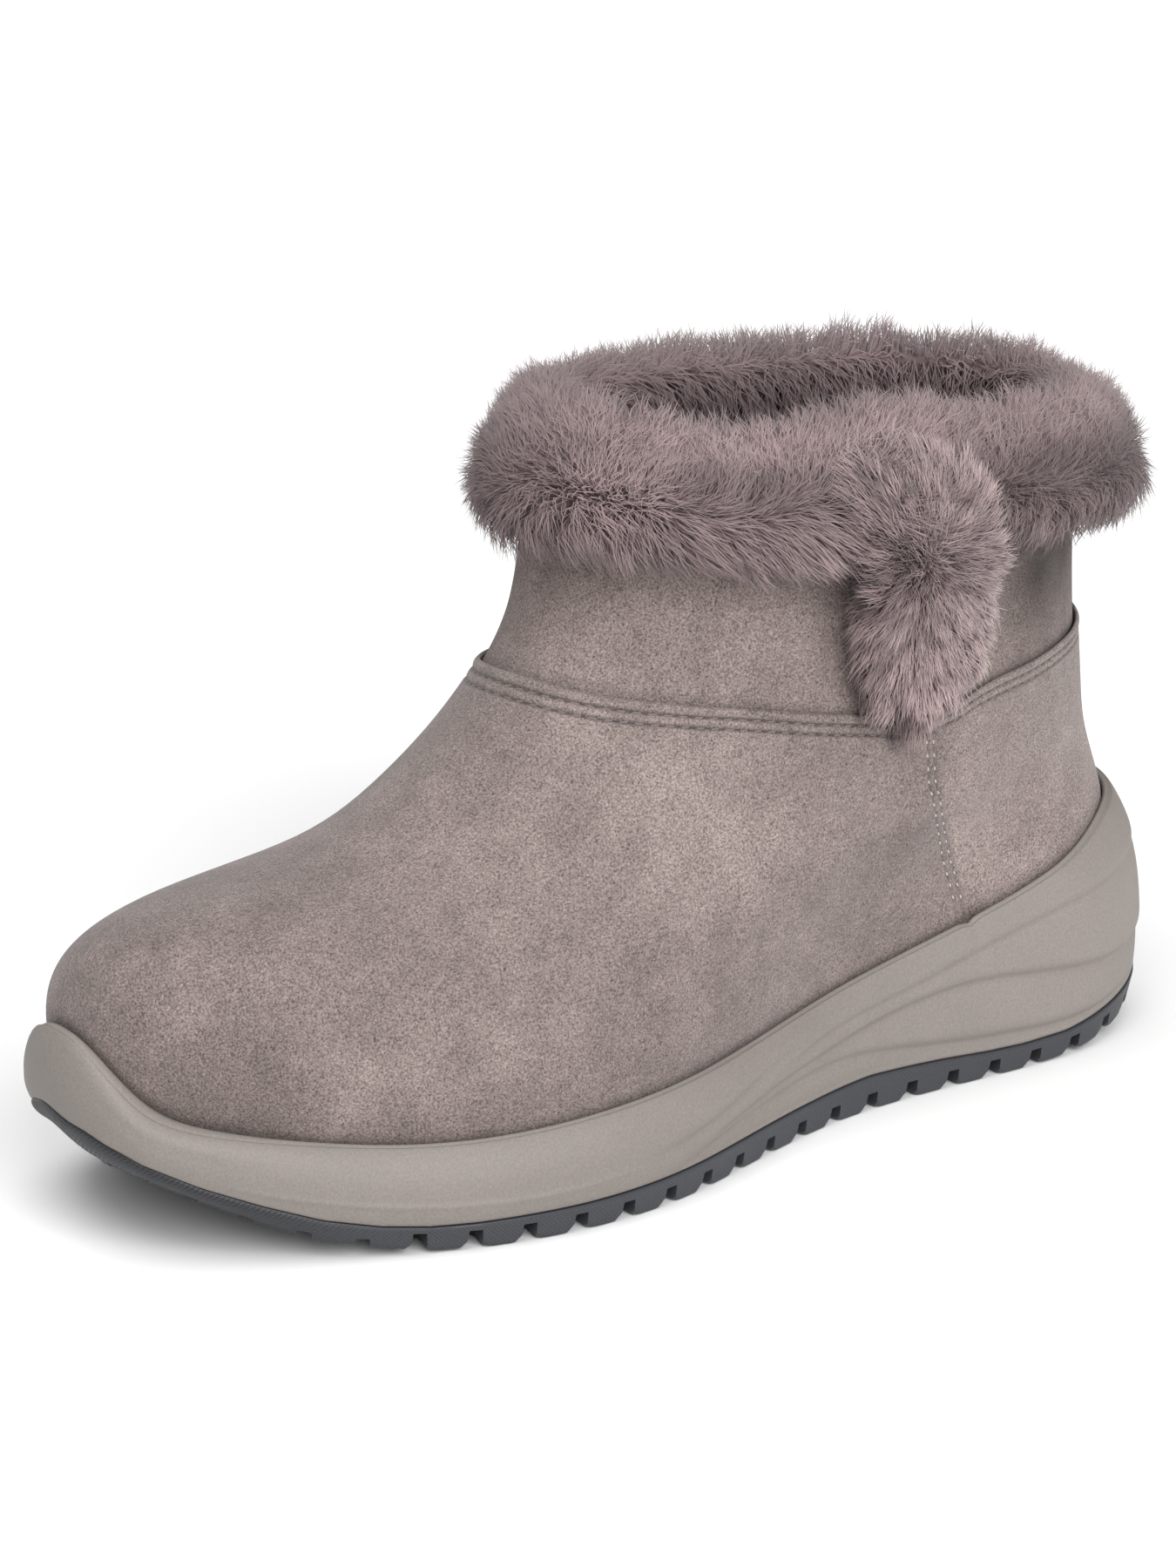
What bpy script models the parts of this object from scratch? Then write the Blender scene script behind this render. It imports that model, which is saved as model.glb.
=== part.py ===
"""Left ankle boot: suede lower and shaft, fur roll at the top with a hanging
fur flap on the outer side, sculpted foam midsole, lugged rubber outsole.

Everything is in metres. +Z is up, the toe points to -X, the outer (lateral)
side is -Y and the boot stands on z = 0. Stations "u" are distances from the
back of the heel along the sole. Angles run round the boot from the heel (0)
by the outer side (90), the toe (180) and the inner side (270).
"""
import math

import bmesh
import bpy
import numpy as np

MM = 0.001

# ---------------------------------------------------------------- dimensions
SOLE_LENGTH = 275.0        # heel to toe, millimetres
HEEL_X = 137.04            # x of the back of the heel, puts the boot's box at x = 0
SIDE_SHIFT = 2.99          # y shift that centres the boot's box
HEEL_ROUND = 46.0          # length over which the heel end is rounded
TOE_ROUND = 88.0           # length over which the toe end is rounded
END_POWERS = (2.2, 2.35)   # how square the heel and the toe end are
FOOT_ENDS = (0.17, 0.32)   # the same two ends on the upper, as shares of its length
FOOT_POWERS = (2.1, 2.3)
TOE_BEND = 0.55            # share of the length at which the toe starts to swing in
MEAN_RADIUS = 42.0         # about the radius of the upper at its side seams
TOE_IN = 12.0              # how far the toe swings to the inner side
GAP = 0.3                  # clearance between neighbouring pieces
SOLE_GAP = 0.45            # clearance between foam and rubber
LIP = 1.6                  # thickness of the midsole's rim against the suede
SUEDE_WALL = 3.0           # suede and its plush lining together
BAND_STEP = 1.3            # how far the shaft lies under the lower's edge
BAND_INSIDE = 3.4          # depth of the shaft's inner face
BAND_SEAT = 0.8            # clearance under the fur roll, along the slope
SEAM_LAP = 0.4             # clearance between the lower's edge and the shaft
NOTCH_DEPTH = 3.2          # height of the gaps between the edge lugs
NOTCH_REACH = 9.0          # how far the gaps run in under the sole
LUG_PITCH = 11.4
LUG_SHARE = 0.74           # part of the pitch that is rubber
LUG_CHAMFER = 0.9
REAR_COLUMNS = 22          # columns round the quarter
FRONT_COLUMNS = 44         # columns round the vamp
HIDDEN_ROWS = 2            # rows of the lower inside the midsole's cup
SHOWN_ROWS = 9             # rows from the rim to the seam

# half widths of the sole's outline
SOLE_PLAN = (
    # name, station, outer side, inner side
    ("heel end", 0, 43.0, 42.0),
    ("heel", 45, 44.4, 43.0),
    ("waist", 108, 39.7, 37.0),
    ("outer ball", 175, 51.7, 48.5),
    ("inner ball", 205, 50.4, 51.5),
    ("toes", 245, 43.6, 48.5),
    ("toe end", 275, 40.0, 46.0),
)
OUTER_BALL = SOLE_PLAN[3][2]
INNER_BALL = SOLE_PLAN[4][3]

# heights along the sole's edge
GROUND_LINE = (  # station, height: heel bevel, flat tread, toe spring
    (0, 8.0), (12, 5.5), (25, 3.2), (42, 0.8), (55, 0.0),
    (206, 0.0), (222, 1.4), (240, 5.6), (248, 8.7), (256, 12.4),
    (263, 16.1), (269, 19.4), (275, 24.0),
)
OUTSOLE_TOP = (  # station, height of the rubber's upper edge
    (0, 13.0), (20, 10.4), (34, 8.2), (46, 6.3), (58, 5.9), (68, 6.2), (81, 7.1), (101, 8.1),
    (120, 7.4), (150, 6.8), (190, 6.1), (212, 6.3), (221, 6.9), (230, 8.1),
    (240, 10.6), (250, 14.5), (260, 18.9), (268, 23.1), (275, 28.4),
)
RIM_LINE = (  # angle, height of the midsole's rim
    (0, 53.0), (20, 52.3), (34, 50.3), (46, 44.9), (60, 37.4), (74, 30.8),
    (88, 26.0), (105, 23.7), (126, 22.3), (142, 25.4), (150, 27.6),
    (157, 29.6), (161, 31.2), (164, 33.3), (167, 36.7), (170, 40.6),
    (173, 43.7), (180, 46.4),
)
FOOTBED = (  # station, height of the foam the insole lies on
    (0, 26.0), (50, 25.5), (110, 19.5), (185, 12.5), (225, 13.2),
    (248, 18.5), (264, 25.0),
)
SEAM_LINE = (  # angle, height of the lower's top edge; dips to a point at 84
    (0, 93.0), (28, 92.2), (47, 91.6), (63, 91.0), (75, 89.8), (84, 87.2),
    (94, 89.4), (105, 92.1), (117, 95.0), (130, 97.4), (141, 99.0),
    (152, 100.4), (164, 101.8), (180, 102.6),
)
SIDE_SEAM = (  # height, station of the seam between vamp and quarter
    (20, 72.0), (36, 74.2), (48, 77.8), (56, 81.4), (64, 85.8),
    (73, 89.4), (84, 90.6), (100, 91.0),
)

# rings of the upper, from the footbed to the collar
UPPER = (
    # name,      back u, back z, front u, front z, sag, outer, inner, widest, foot
    ("bed",        11.0,  26.0, 263.5,  25.0,  0.0, 43.0, 43.5, 0.66, 1.00),
    ("feather",     8.0,  37.0, 269.2,  37.5,  1.0, 45.0, 46.0, 0.66, 1.00),
    ("toe wall",    6.6,  47.0, 271.0,  49.5,  4.0, 46.5, 47.0, 0.64, 0.90),
    ("toe box",     7.0,  57.0, 267.0,  60.5, 10.0, 46.0, 46.5, 0.60, 0.65),
    ("toe cap",     8.8,  67.0, 250.0,  68.0, 13.0, 45.0, 46.0, 0.55, 0.35),
    ("vamp low",   10.0,  77.0, 219.5,  72.2, 12.0, 44.0, 44.0, 0.50, 0.12),
    ("vamp",       11.2,  87.0, 196.0,  81.8,  9.0, 43.0, 43.0, 0.48, 0.03),
    ("instep",     12.5,  97.0, 176.5,  95.0,  5.0, 42.5, 42.5, 0.49, 0.00),
    ("throat",     13.6, 108.0, 165.0, 107.0,  2.0, 42.5, 42.5, 0.50, 0.00),
    ("shaft",      14.0, 120.0, 160.0, 120.0,  0.0, 43.0, 43.0, 0.50, 0.00),
    ("top",        13.0, 145.0, 155.0, 145.0,  0.0, 44.0, 44.0, 0.50, 0.00),
)

# the fur roll: its cross-section is an ellipse standing across the shaft,
# leaning in towards its top
COLLAR = (
    # angle, height of its middle, half height, half thickness, outward shift
    (0, 131.5, 17.0, 12.5, 1.2),
    (60, 134.8, 17.0, 12.0, 0.8),
    (120, 140.5, 17.0, 12.0, 0.0),
    (180, 142.5, 17.0, 12.0, -1.0),
)
COLLAR_LEAN = 5.0          # top in and bottom out by this much
COLLAR_SIDES = 12
COLLAR_COLUMNS = 60

# the hanging fur flap on the outer side: it lies on the suede, then bends
# out round the underside of the roll and ends on the roll's side
FLAP = (
    # height, middle station, half width, thickness, stand-off from the suede
    (86.0, 93.5, 7.0, 4.5, 0.35),
    (88.0, 93.5, 12.0, 8.0, 0.35),
    (93.0, 94.5, 15.0, 10.5, 0.35),
    (102.0, 95.5, 16.5, 11.5, 0.35),
    (111.0, 95.5, 17.5, 12.5, 0.35),
    (115.5, 96.0, 18.0, 14.0, 0.6),
    (118.3, 97.0, 18.2, 13.0, 4.5),
    (121.0, 99.0, 18.3, 9.0, 10.3),
    (125.0, 101.0, 18.5, 6.8, 13.4),
    (130.0, 103.0, 18.5, 5.2, 14.4),
    (135.0, 104.0, 17.5, 4.5, 13.9),
    (140.0, 104.5, 15.0, 3.5, 12.7),
    (143.0, 104.5, 9.0, 1.5, 12.1),
)
FLAP_SIDES = 14


# ---------------------------------------------------------------- curves
def natural_spline(points):
    """Smooth curve through (x, y) pairs, straight beyond both ends."""
    xs = np.array([p[0] for p in points], float)
    ys = np.array([p[1] for p in points], float)
    count = len(xs)
    h = np.diff(xs)
    a = np.eye(count)
    b = np.zeros(count)
    for i in range(1, count - 1):
        a[i, i - 1:i + 2] = h[i - 1], 2 * (h[i - 1] + h[i]), h[i]
        b[i] = 6 * ((ys[i + 1] - ys[i]) / h[i] - (ys[i] - ys[i - 1]) / h[i - 1])
    m = np.linalg.solve(a, b)

    def at(x):
        x = np.asarray(x, float)
        k = np.clip(np.searchsorted(xs, x) - 1, 0, count - 2)
        d0 = x - xs[k]
        d1 = xs[k + 1] - x
        curve = (m[k] * d1 ** 3 + m[k + 1] * d0 ** 3) / (6 * h[k])
        curve = curve + (ys[k] / h[k] - m[k] * h[k] / 6) * d1
        curve = curve + (ys[k + 1] / h[k] - m[k + 1] * h[k] / 6) * d0
        first = (ys[1] - ys[0]) / h[0] - h[0] * (2 * m[0] + m[1]) / 6
        last = (ys[-1] - ys[-2]) / h[-1] + h[-1] * (m[-2] + 2 * m[-1]) / 6
        curve = np.where(x < xs[0], ys[0] + first * (x - xs[0]), curve)
        return np.where(x > xs[-1], ys[-1] + last * (x - xs[-1]), curve)
    return at


def round_about(points):
    """Spline over an angle, the same on the outer and the inner side."""
    before = [(-p[0], p[1]) for p in points[2:0:-1]]
    after = [(360 - p[0], p[1]) for p in points[-2:-4:-1]]
    curve = natural_spline(before + list(points) + after)

    def at(theta):
        a = np.degrees(theta) % 360
        return curve(np.where(a > 180, 360 - a, a))
    return at


def smoothstep(t):
    t = np.clip(t, 0, 1)
    return t * t * (3 - 2 * t)


outer_half = natural_spline([(r[1], r[2]) for r in SOLE_PLAN])
inner_half = natural_spline([(r[1], r[3]) for r in SOLE_PLAN])
footbed = natural_spline(FOOTBED)
rim_height = round_about(RIM_LINE)
seam_height = round_about(SEAM_LINE)
collar_middle = round_about([(r[0], r[1]) for r in COLLAR])
collar_half_height = round_about([(r[0], r[2]) for r in COLLAR])
collar_half_thick = round_about([(r[0], r[3]) for r in COLLAR])
collar_shift = round_about([(r[0], r[4]) for r in COLLAR])
RING = [natural_spline([(i, row[c]) for i, row in enumerate(UPPER)])
        for c in range(1, 10)]


def ground(u):
    return np.interp(u, [p[0] for p in GROUND_LINE], [p[1] for p in GROUND_LINE])


def outsole_top(u):
    return np.interp(u, [p[0] for p in OUTSOLE_TOP], [p[1] for p in OUTSOLE_TOP])


def side_seam(z):
    return np.interp(z, [p[0] for p in SIDE_SEAM], [p[1] for p in SIDE_SEAM])


def end_rounding(t, back, front, power, toe_power):
    """1 along the middle, down to 0 at both ends."""
    tb = np.clip((back - t) / back, 0, 1)
    tf = np.clip((t - (1 - front)) / front, 0, 1)
    heel = np.maximum(1 - tb ** power, 0) ** (1 / power)
    toe = np.maximum(1 - tf ** toe_power, 0) ** (1 / toe_power)
    return heel * toe


# ---------------------------------------------------------------- surfaces
def sole_outline(theta, inset=0.0):
    """Points (x, y) of the sole's edge in millimetres, moved in by inset."""
    def raw(angle):
        t = (1 - np.cos(angle)) / 2
        u = t * SOLE_LENGTH
        r = end_rounding(t, HEEL_ROUND / SOLE_LENGTH, TOE_ROUND / SOLE_LENGTH, *END_POWERS)
        y = np.where(np.sin(angle) >= 0, -outer_half(u), inner_half(u)) * r
        y = y + TOE_IN * smoothstep((t - TOE_BEND) / (1 - TOE_BEND))
        return np.stack([HEEL_X - u, y + SIDE_SHIFT], -1)
    step = 0.004
    along = raw(theta + step) - raw(theta - step)
    out = np.stack([along[:, 1], -along[:, 0]], -1)
    out /= np.linalg.norm(out, axis=1, keepdims=True)
    middle = np.array([HEEL_X - SOLE_LENGTH / 2, SIDE_SHIFT])
    here = raw(theta)
    if ((here - middle) * out).sum() < 0:
        out = -out
    return here - out * np.broadcast_to(inset, len(theta))[:, None]


def upper_surface(level, theta):
    """Points of the upper's outside; level counts the rows of UPPER."""
    back_u, back_z, front_u, front_z, sag, outer, inner, widest, foot = [
        curve(level) for curve in RING]
    t = (1 - np.cos(theta)) / 2
    u = back_u + t * (front_u - back_u)
    tb = np.clip((widest - t) / widest, 0, 1)
    tf = np.clip((t - widest) / (1 - widest), 0, 1)
    egg = np.sqrt(np.maximum(1 - tb ** 2, 0)) * np.sqrt(np.maximum(1 - tf ** 2, 0))
    footprint = end_rounding(t, *FOOT_ENDS, *FOOT_POWERS)
    sole_u = t * SOLE_LENGTH
    outside = foot * outer_half(sole_u) / OUTER_BALL * footprint + (1 - foot) * egg
    inside = foot * inner_half(sole_u) / INNER_BALL * footprint + (1 - foot) * egg
    y = np.where(np.sin(theta) >= 0, -outer * outside, inner * inside)
    swing = smoothstep((u / SOLE_LENGTH - TOE_BEND) / (1 - TOE_BEND))
    y = y + (0.35 + 0.65 * foot) * TOE_IN * swing
    chord = footbed(back_u) + t * (footbed(front_u) - footbed(back_u))
    z = back_z + t * (front_z - back_z) - sag * 4 * t * (1 - t)
    z = z + foot * (footbed(u) - chord)
    return np.stack([HEEL_X - u, y + SIDE_SHIFT, z], -1)


def upper_normal(level, theta):
    d = 0.01
    up = upper_surface(level + d, theta) - upper_surface(level - d, theta)
    along = upper_surface(level, theta + d) - upper_surface(level, theta - d)
    n = np.cross(along, up)
    n /= np.linalg.norm(n, axis=-1, keepdims=True)
    away = np.stack([np.cos(theta), -np.sin(theta)], -1)
    flip = (n[..., :2] * away).sum(-1) < 0
    return np.where(flip[..., None], -n, n)


def upper_at(level, theta, offset):
    return upper_surface(level, theta) + upper_normal(level, theta) * offset


def flat_offset(level, theta, offset):
    """Upper's outside moved out level, whatever its slope."""
    normal = upper_normal(level, theta)
    normal[:, 2] = 0
    normal /= np.linalg.norm(normal, axis=1, keepdims=True)
    return upper_surface(level, theta) + normal * offset


def level_at(theta, height):
    """Level at which the upper's outside reaches a height, angle by angle."""
    low = np.zeros(len(theta)) - 0.2
    high = np.zeros(len(theta)) + len(UPPER) - 0.2
    for _ in range(24):
        middle = (low + high) / 2
        below = upper_surface(middle, theta)[:, 2] < height
        low = np.where(below, middle, low)
        high = np.where(below, high, middle)
    return (low + high) / 2


def row_levels(row, theta):
    """Levels of one row of the lower: rows 0..HIDDEN_ROWS lie in the cup."""
    rim = level_at(theta, rim_height(theta))
    if row <= HIDDEN_ROWS:
        return rim * row / HIDDEN_ROWS
    top = level_at(theta, seam_height(theta))
    return rim + (top - rim) * (row - HIDDEN_ROWS) / SHOWN_ROWS


SEAM_ANGLES = {}


def seam_angle(row):
    """Angle at which a row meets the side seam, on the outer side."""
    if row not in SEAM_ANGLES:
        low, high = 0.6, 2.2
        for _ in range(20):
            theta = np.array([(low + high) / 2])
            point = upper_surface(row_levels(row, theta), theta)[0]
            if HEEL_X - point[0] < side_seam(point[2]):
                low = float(theta[0])
            else:
                high = float(theta[0])
        SEAM_ANGLES[row] = (low + high) / 2
    return SEAM_ANGLES[row]


def outer_angle(u, height):
    """Angles at which the outer side passes the stations u at one height."""
    low = np.full(len(u), 0.6)
    high = np.full(len(u), 2.4)
    for _ in range(20):
        theta = (low + high) / 2
        point = upper_surface(level_at(theta, height), theta)
        before = HEEL_X - point[:, 0] < u
        low = np.where(before, theta, low)
        high = np.where(before, high, theta)
    return (low + high) / 2


# ---------------------------------------------------------------- meshes
def loft(name, loops, material, joined=False, mirror=None):
    """Skin over closed loops; the ends are filled by strips across the loop.

    mirror says which point faces which in the end strips: point i faces
    point (mirror - i) of the same loop.
    """
    loops = np.asarray(loops, float) * MM
    rows, columns = loops.shape[:2]
    faces = []
    for i in range(rows if joined else rows - 1):
        j = (i + 1) % rows
        for k in range(columns):
            m = (k + 1) % columns
            faces.append((i * columns + k, i * columns + m,
                          j * columns + m, j * columns + k))
    if not joined:
        for base, turn in ((0, -1), ((rows - 1) * columns, 1)):
            for k in range(columns):
                m = (k + 1) % columns
                ring = [k, m, (mirror - m) % columns, (mirror - k) % columns]
                if ring[0] > ring[3] or ring[1] > ring[2]:
                    continue
                if len(set(ring)) < 3:
                    continue
                unique = list(dict.fromkeys(ring))
                faces.append(tuple(base + r for r in unique[::turn]))
    mesh = bpy.data.meshes.new(name)
    mesh.from_pydata([tuple(p) for p in loops.reshape(-1, 3)], [], faces)
    mesh.update()
    body = bpy.data.objects.new(name, mesh)
    bpy.context.scene.collection.objects.link(body)
    made = bmesh.new()
    made.from_mesh(mesh)
    bmesh.ops.triangulate(made, faces=made.faces[:])
    bmesh.ops.recalc_face_normals(made, faces=made.faces[:])
    if made.calc_volume(signed=True) < 0:
        bmesh.ops.reverse_faces(made, faces=made.faces[:])
    made.to_mesh(mesh)
    made.free()
    for face in mesh.polygons:
        face.use_smooth = True
    mesh.materials.append(material)
    return body


def make_material(name, colour, roughness):
    material = bpy.data.materials.new(name)
    material.use_nodes = True
    shader = material.node_tree.nodes["Principled BSDF"]
    shader.inputs["Base Color"].default_value = (*colour, 1.0)
    shader.inputs["Roughness"].default_value = roughness
    material.diffuse_color = (*colour, 1.0)
    return material


# ---------------------------------------------------------------- pieces
def lug_angles():
    """Angles on the outer half where the edge steps between lug and gap."""
    fine = np.linspace(0, math.pi, 4001)
    line = sole_outline(fine, 2.5)
    run = np.concatenate([[0], np.cumsum(np.linalg.norm(np.diff(line, axis=0), axis=1))])
    count = int(run[-1] / LUG_PITCH)
    pitch = run[-1] / count
    gap = pitch * (1 - LUG_SHARE)
    steps = []
    for i in range(count):
        middle = (i + 0.5) * pitch
        for shift, down in ((-gap / 2 - LUG_CHAMFER / 2, 0), (-gap / 2 + LUG_CHAMFER / 2, 1),
                            (gap / 2 - LUG_CHAMFER / 2, 1), (gap / 2 + LUG_CHAMFER / 2, 0)):
            steps.append((float(np.interp(middle + shift, run, fine)), down))
    return steps


def build_outsole(material):
    half = lug_angles()
    angles = [a for a, _ in half] + [2 * math.pi - a for a, _ in half[::-1]]
    notch = np.array([n for _, n in half] + [n for _, n in half[::-1]], float)
    theta = np.array(angles)

    def ring(inset, height):
        line = sole_outline(theta, inset)
        u = HEEL_X - line[:, 0]
        return np.column_stack([line, height(u)])

    loops = [
        ring(1.6, lambda u: outsole_top(u)),
        ring(0.9, lambda u: outsole_top(u) - 0.9),
        ring(2.5, lambda u: ground(u) + 0.7 + (NOTCH_DEPTH - 0.7) * notch),
        ring(3.3, lambda u: ground(u) + NOTCH_DEPTH * notch),
        ring(NOTCH_REACH, lambda u: ground(u) + NOTCH_DEPTH * notch),
        ring(NOTCH_REACH + 1.0, lambda u: ground(u)),
    ]
    return loft("outsole", loops, material, mirror=len(theta) - 1)


def boot_columns(row):
    """Angles round the boot in one row, with one column on each side seam."""
    seam = seam_angle(row)
    rear = np.linspace(-seam, seam, REAR_COLUMNS + 1)
    front = np.linspace(seam, 2 * math.pi - seam, FRONT_COLUMNS + 1)
    return rear, front


def ring_angles(row):
    """All columns of a row in one ring, starting at the heel."""
    rear, front = boot_columns(row)
    start = REAR_COLUMNS // 2
    return np.concatenate([rear[start:-1], front[:-1],
                           2 * math.pi + rear[:start]])


def build_midsole(material):
    """Foam cup: bulging outside, thin rim against the suede, dished floor."""
    theta = ring_angles(HIDDEN_ROWS)
    rim = rim_height(theta)
    lip = upper_at(row_levels(HIDDEN_ROWS, theta), theta, GAP + LIP)[:, :2]
    loops = []
    for share in (0.0, 0.1, 0.3, 0.5, 0.66, 0.8, 0.91, 1.0):
        tuck = 1.6 * max(0.0, (0.3 - share) / 0.3) ** 2
        closing = max(0.0, (share - 0.3) / 0.7) ** 2.2
        line = sole_outline(theta, tuck)
        line = line + (lip - line) * closing
        base = outsole_top(HEEL_X - line[:, 0]) + SOLE_GAP
        loops.append(np.column_stack([line, base + (rim - base) * share]))
    for row in range(HIDDEN_ROWS, -1, -1):
        angles = ring_angles(row)
        wall = upper_at(row_levels(row, angles), angles, GAP)
        if row == HIDDEN_ROWS:
            crest = (lip + wall[:, :2]) / 2
            loops.append(np.column_stack([crest, rim + 0.5]))
        loops.append(wall)
    return loft("midsole", loops, material, mirror=0)


def build_panel(name, part, material):
    """Vamp or quarter: a thick curved panel between the two side seams."""
    outside = []
    inside = []
    for row in range(HIDDEN_ROWS + SHOWN_ROWS + 1):
        theta = boot_columns(row)[part].copy()
        trim = GAP / 2 / MEAN_RADIUS
        theta[0] += trim
        theta[-1] -= trim
        level = row_levels(row, theta)
        outside.append(upper_at(level, theta, 0.0))
        inside.append(upper_at(level, theta, -SUEDE_WALL))
    for side in (outside, inside):
        floor = side[0]
        floor[:, 2] = footbed(HEEL_X - floor[:, 0]) + GAP
    grid = np.concatenate([np.array(outside), np.array(inside)[::-1]])
    loops = grid.transpose(1, 0, 2)
    return loft(name, loops, material, mirror=loops.shape[1] - 1)


def build_insole(material):
    theta = ring_angles(0)
    level = np.zeros(len(theta))
    loops = []
    for inset, lift in ((-SUEDE_WALL - GAP - 1.0, GAP), (-SUEDE_WALL - GAP, GAP + 1.2),
                        (-SUEDE_WALL - GAP, 3.6), (-SUEDE_WALL - GAP - 2.0, 4.6)):
        ring = upper_at(level, theta, inset)
        ring[:, 2] = footbed(HEEL_X - ring[:, 0]) + lift
        loops.append(ring)
    return loft("insole", loops, material, mirror=0)


def collar_section(theta, turn):
    """Point of the fur roll: turn 0 is outward, 90 up, 180 inward."""
    middle = collar_middle(theta)
    level = level_at(theta, middle)
    reach = collar_shift(theta) + collar_half_thick(theta) * math.cos(turn)
    reach = reach - COLLAR_LEAN * math.sin(turn)
    point = flat_offset(level, theta, reach[:, None])
    point[:, 2] = middle + collar_half_height(theta) * math.sin(turn)
    return point


def build_collar(material):
    theta = np.linspace(0, 2 * math.pi, COLLAR_COLUMNS + 1)[:-1]
    loops = [collar_section(theta, 2 * math.pi * k / COLLAR_SIDES)
             for k in range(COLLAR_SIDES)]
    return loft("fur_collar", loops, material, joined=True)


def shaft_top(theta):
    """Height of the shaft's upper edge, just under the fur roll."""
    tilt = np.arctan2(COLLAR_LEAN, collar_half_thick(theta))
    across = collar_half_thick(theta) / np.cos(tilt)
    lowest = np.full(len(theta), 1e3)
    for reach in (-BAND_STEP, -BAND_INSIDE):
        turn = np.arccos(np.clip((reach - collar_shift(theta)) / across, -1, 1)) + tilt
        under = collar_middle(theta) - collar_half_height(theta) * np.sin(turn)
        lowest = np.minimum(lowest, under)
    return lowest - BAND_SEAT


def build_shaft(material):
    rows = 4
    outside = []
    inside = []
    theta = ring_angles(HIDDEN_ROWS + SHOWN_ROWS)
    foot = seam_height(theta) + SEAM_LAP
    low = level_at(theta, foot)
    high = level_at(theta, shaft_top(theta))
    for row in range(rows + 1):
        level = low + (high - low) * row / rows
        outside.append(upper_at(level, theta, -BAND_STEP))
        inside.append(upper_at(level, theta, -BAND_INSIDE))
    for side in (outside, inside):
        side[0][:, 2] = foot
    return loft("shaft", outside + inside[::-1], material, joined=True)


def build_flap(material):
    """Hanging tail of fur, flat against the suede, free at the lower end."""
    turn = 2 * math.pi * np.arange(FLAP_SIDES) / FLAP_SIDES
    side = np.sign(np.cos(turn)) * np.abs(np.cos(turn)) ** 0.7
    face = np.sign(np.sin(turn)) * np.abs(np.sin(turn)) ** 0.8
    loops = []
    for height, station, half_width, thick, stand_off in FLAP:
        theta = outer_angle(station + half_width * side, height)
        level = level_at(theta, height)
        depth = stand_off + thick * (0.5 + 0.5 * face)
        loop = flat_offset(level, theta, depth[:, None])
        loop[:, 2] = height
        loops.append(loop)
    return loft("fur_flap", loops, material, mirror=0)


def main():
    for old in list(bpy.data.objects):
        bpy.data.objects.remove(old, do_unlink=True)
    suede = make_material("suede", (0.30, 0.245, 0.21), 0.95)
    band = make_material("suede_band", (0.28, 0.23, 0.20), 0.95)
    back = make_material("suede_quarter", (0.30, 0.245, 0.21), 0.95)
    fur = make_material("fur", (0.25, 0.20, 0.19), 0.9)
    flap_fur = make_material("flap_fur", (0.25, 0.20, 0.19), 0.9)
    foam = make_material("midsole_foam", (0.40, 0.355, 0.30), 0.75)
    rubber = make_material("rubber", (0.09, 0.10, 0.115), 0.7)
    plush = make_material("plush", (0.26, 0.21, 0.20), 1.0)
    build_outsole(rubber)
    build_midsole(foam)
    build_insole(plush)
    build_panel("vamp", 1, suede)
    build_panel("quarter", 0, back)
    build_shaft(band)
    build_collar(fur)
    build_flap(flap_fur)


if __name__ == "__main__":
    main()
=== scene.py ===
"""Looks of the left ankle boot: napped suede, a deep fur roll with a hanging
flap, a sculpted foam midsole and a lugged rubber outsole.

Lengths in the tables are millimetres and are turned to metres when a mesh is
set. +Z is up, the toe points to -X and the outer side is -Y. Stations "u" are
measured from the back of the heel, angles run round the boot from the heel
(0) by the outer side (90), the toe (180) and the inner side (270).
"""
import math

import bpy
import numpy as np
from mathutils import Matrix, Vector, kdtree, noise

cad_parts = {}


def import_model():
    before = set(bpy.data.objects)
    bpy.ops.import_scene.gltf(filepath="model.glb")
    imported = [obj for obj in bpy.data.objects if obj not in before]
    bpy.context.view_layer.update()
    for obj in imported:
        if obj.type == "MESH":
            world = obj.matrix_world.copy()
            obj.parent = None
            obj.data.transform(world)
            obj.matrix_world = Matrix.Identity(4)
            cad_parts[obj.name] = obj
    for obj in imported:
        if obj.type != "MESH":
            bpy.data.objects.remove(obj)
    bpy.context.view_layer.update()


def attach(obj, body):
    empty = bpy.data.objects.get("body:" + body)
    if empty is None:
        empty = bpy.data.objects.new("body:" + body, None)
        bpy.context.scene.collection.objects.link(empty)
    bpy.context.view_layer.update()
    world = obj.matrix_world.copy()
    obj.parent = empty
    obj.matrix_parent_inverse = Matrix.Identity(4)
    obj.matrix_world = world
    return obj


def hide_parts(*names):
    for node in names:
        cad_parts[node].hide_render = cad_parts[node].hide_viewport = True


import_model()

MM = 0.001
BODY = "root"

# ---------------------------------------------------------------- dimensions
SOLE_LENGTH = 275.0        # heel to toe
HEEL_X = 137.04            # x of the back of the heel
SIDE_SHIFT = 2.99          # y shift of the boot's middle line
HEEL_ROUND = 46.0          # length over which the heel end is rounded
TOE_ROUND = 88.0           # length over which the toe end is rounded
END_POWERS = (2.2, 2.35)   # how square the heel and the toe end are
FOOT_ENDS = (0.17, 0.32)   # the same two ends on the upper, as shares of its length
FOOT_POWERS = (2.1, 2.3)
TOE_BEND = 0.55            # share of the length at which the toe starts to swing in
TOE_IN = 12.0              # how far the toe swings to the inner side
LEAST_SWING = 0.35         # the shaft's share of that swing
GAP = 0.3                  # clearance between neighbouring pieces
SOLE_GAP = 0.45            # clearance between foam and rubber
LIP = 1.6                  # thickness of the foam's rim against the suede
BAND_STEP = 1.3            # how far the shaft lies under the lower's edge
SUEDE = 1.1                # thickness of the suede
PILE = 1.2                 # thickness of the plush lining
LUG_PITCH = 11.4
LUG_SHARE = 0.74           # part of the pitch that is rubber
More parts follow.
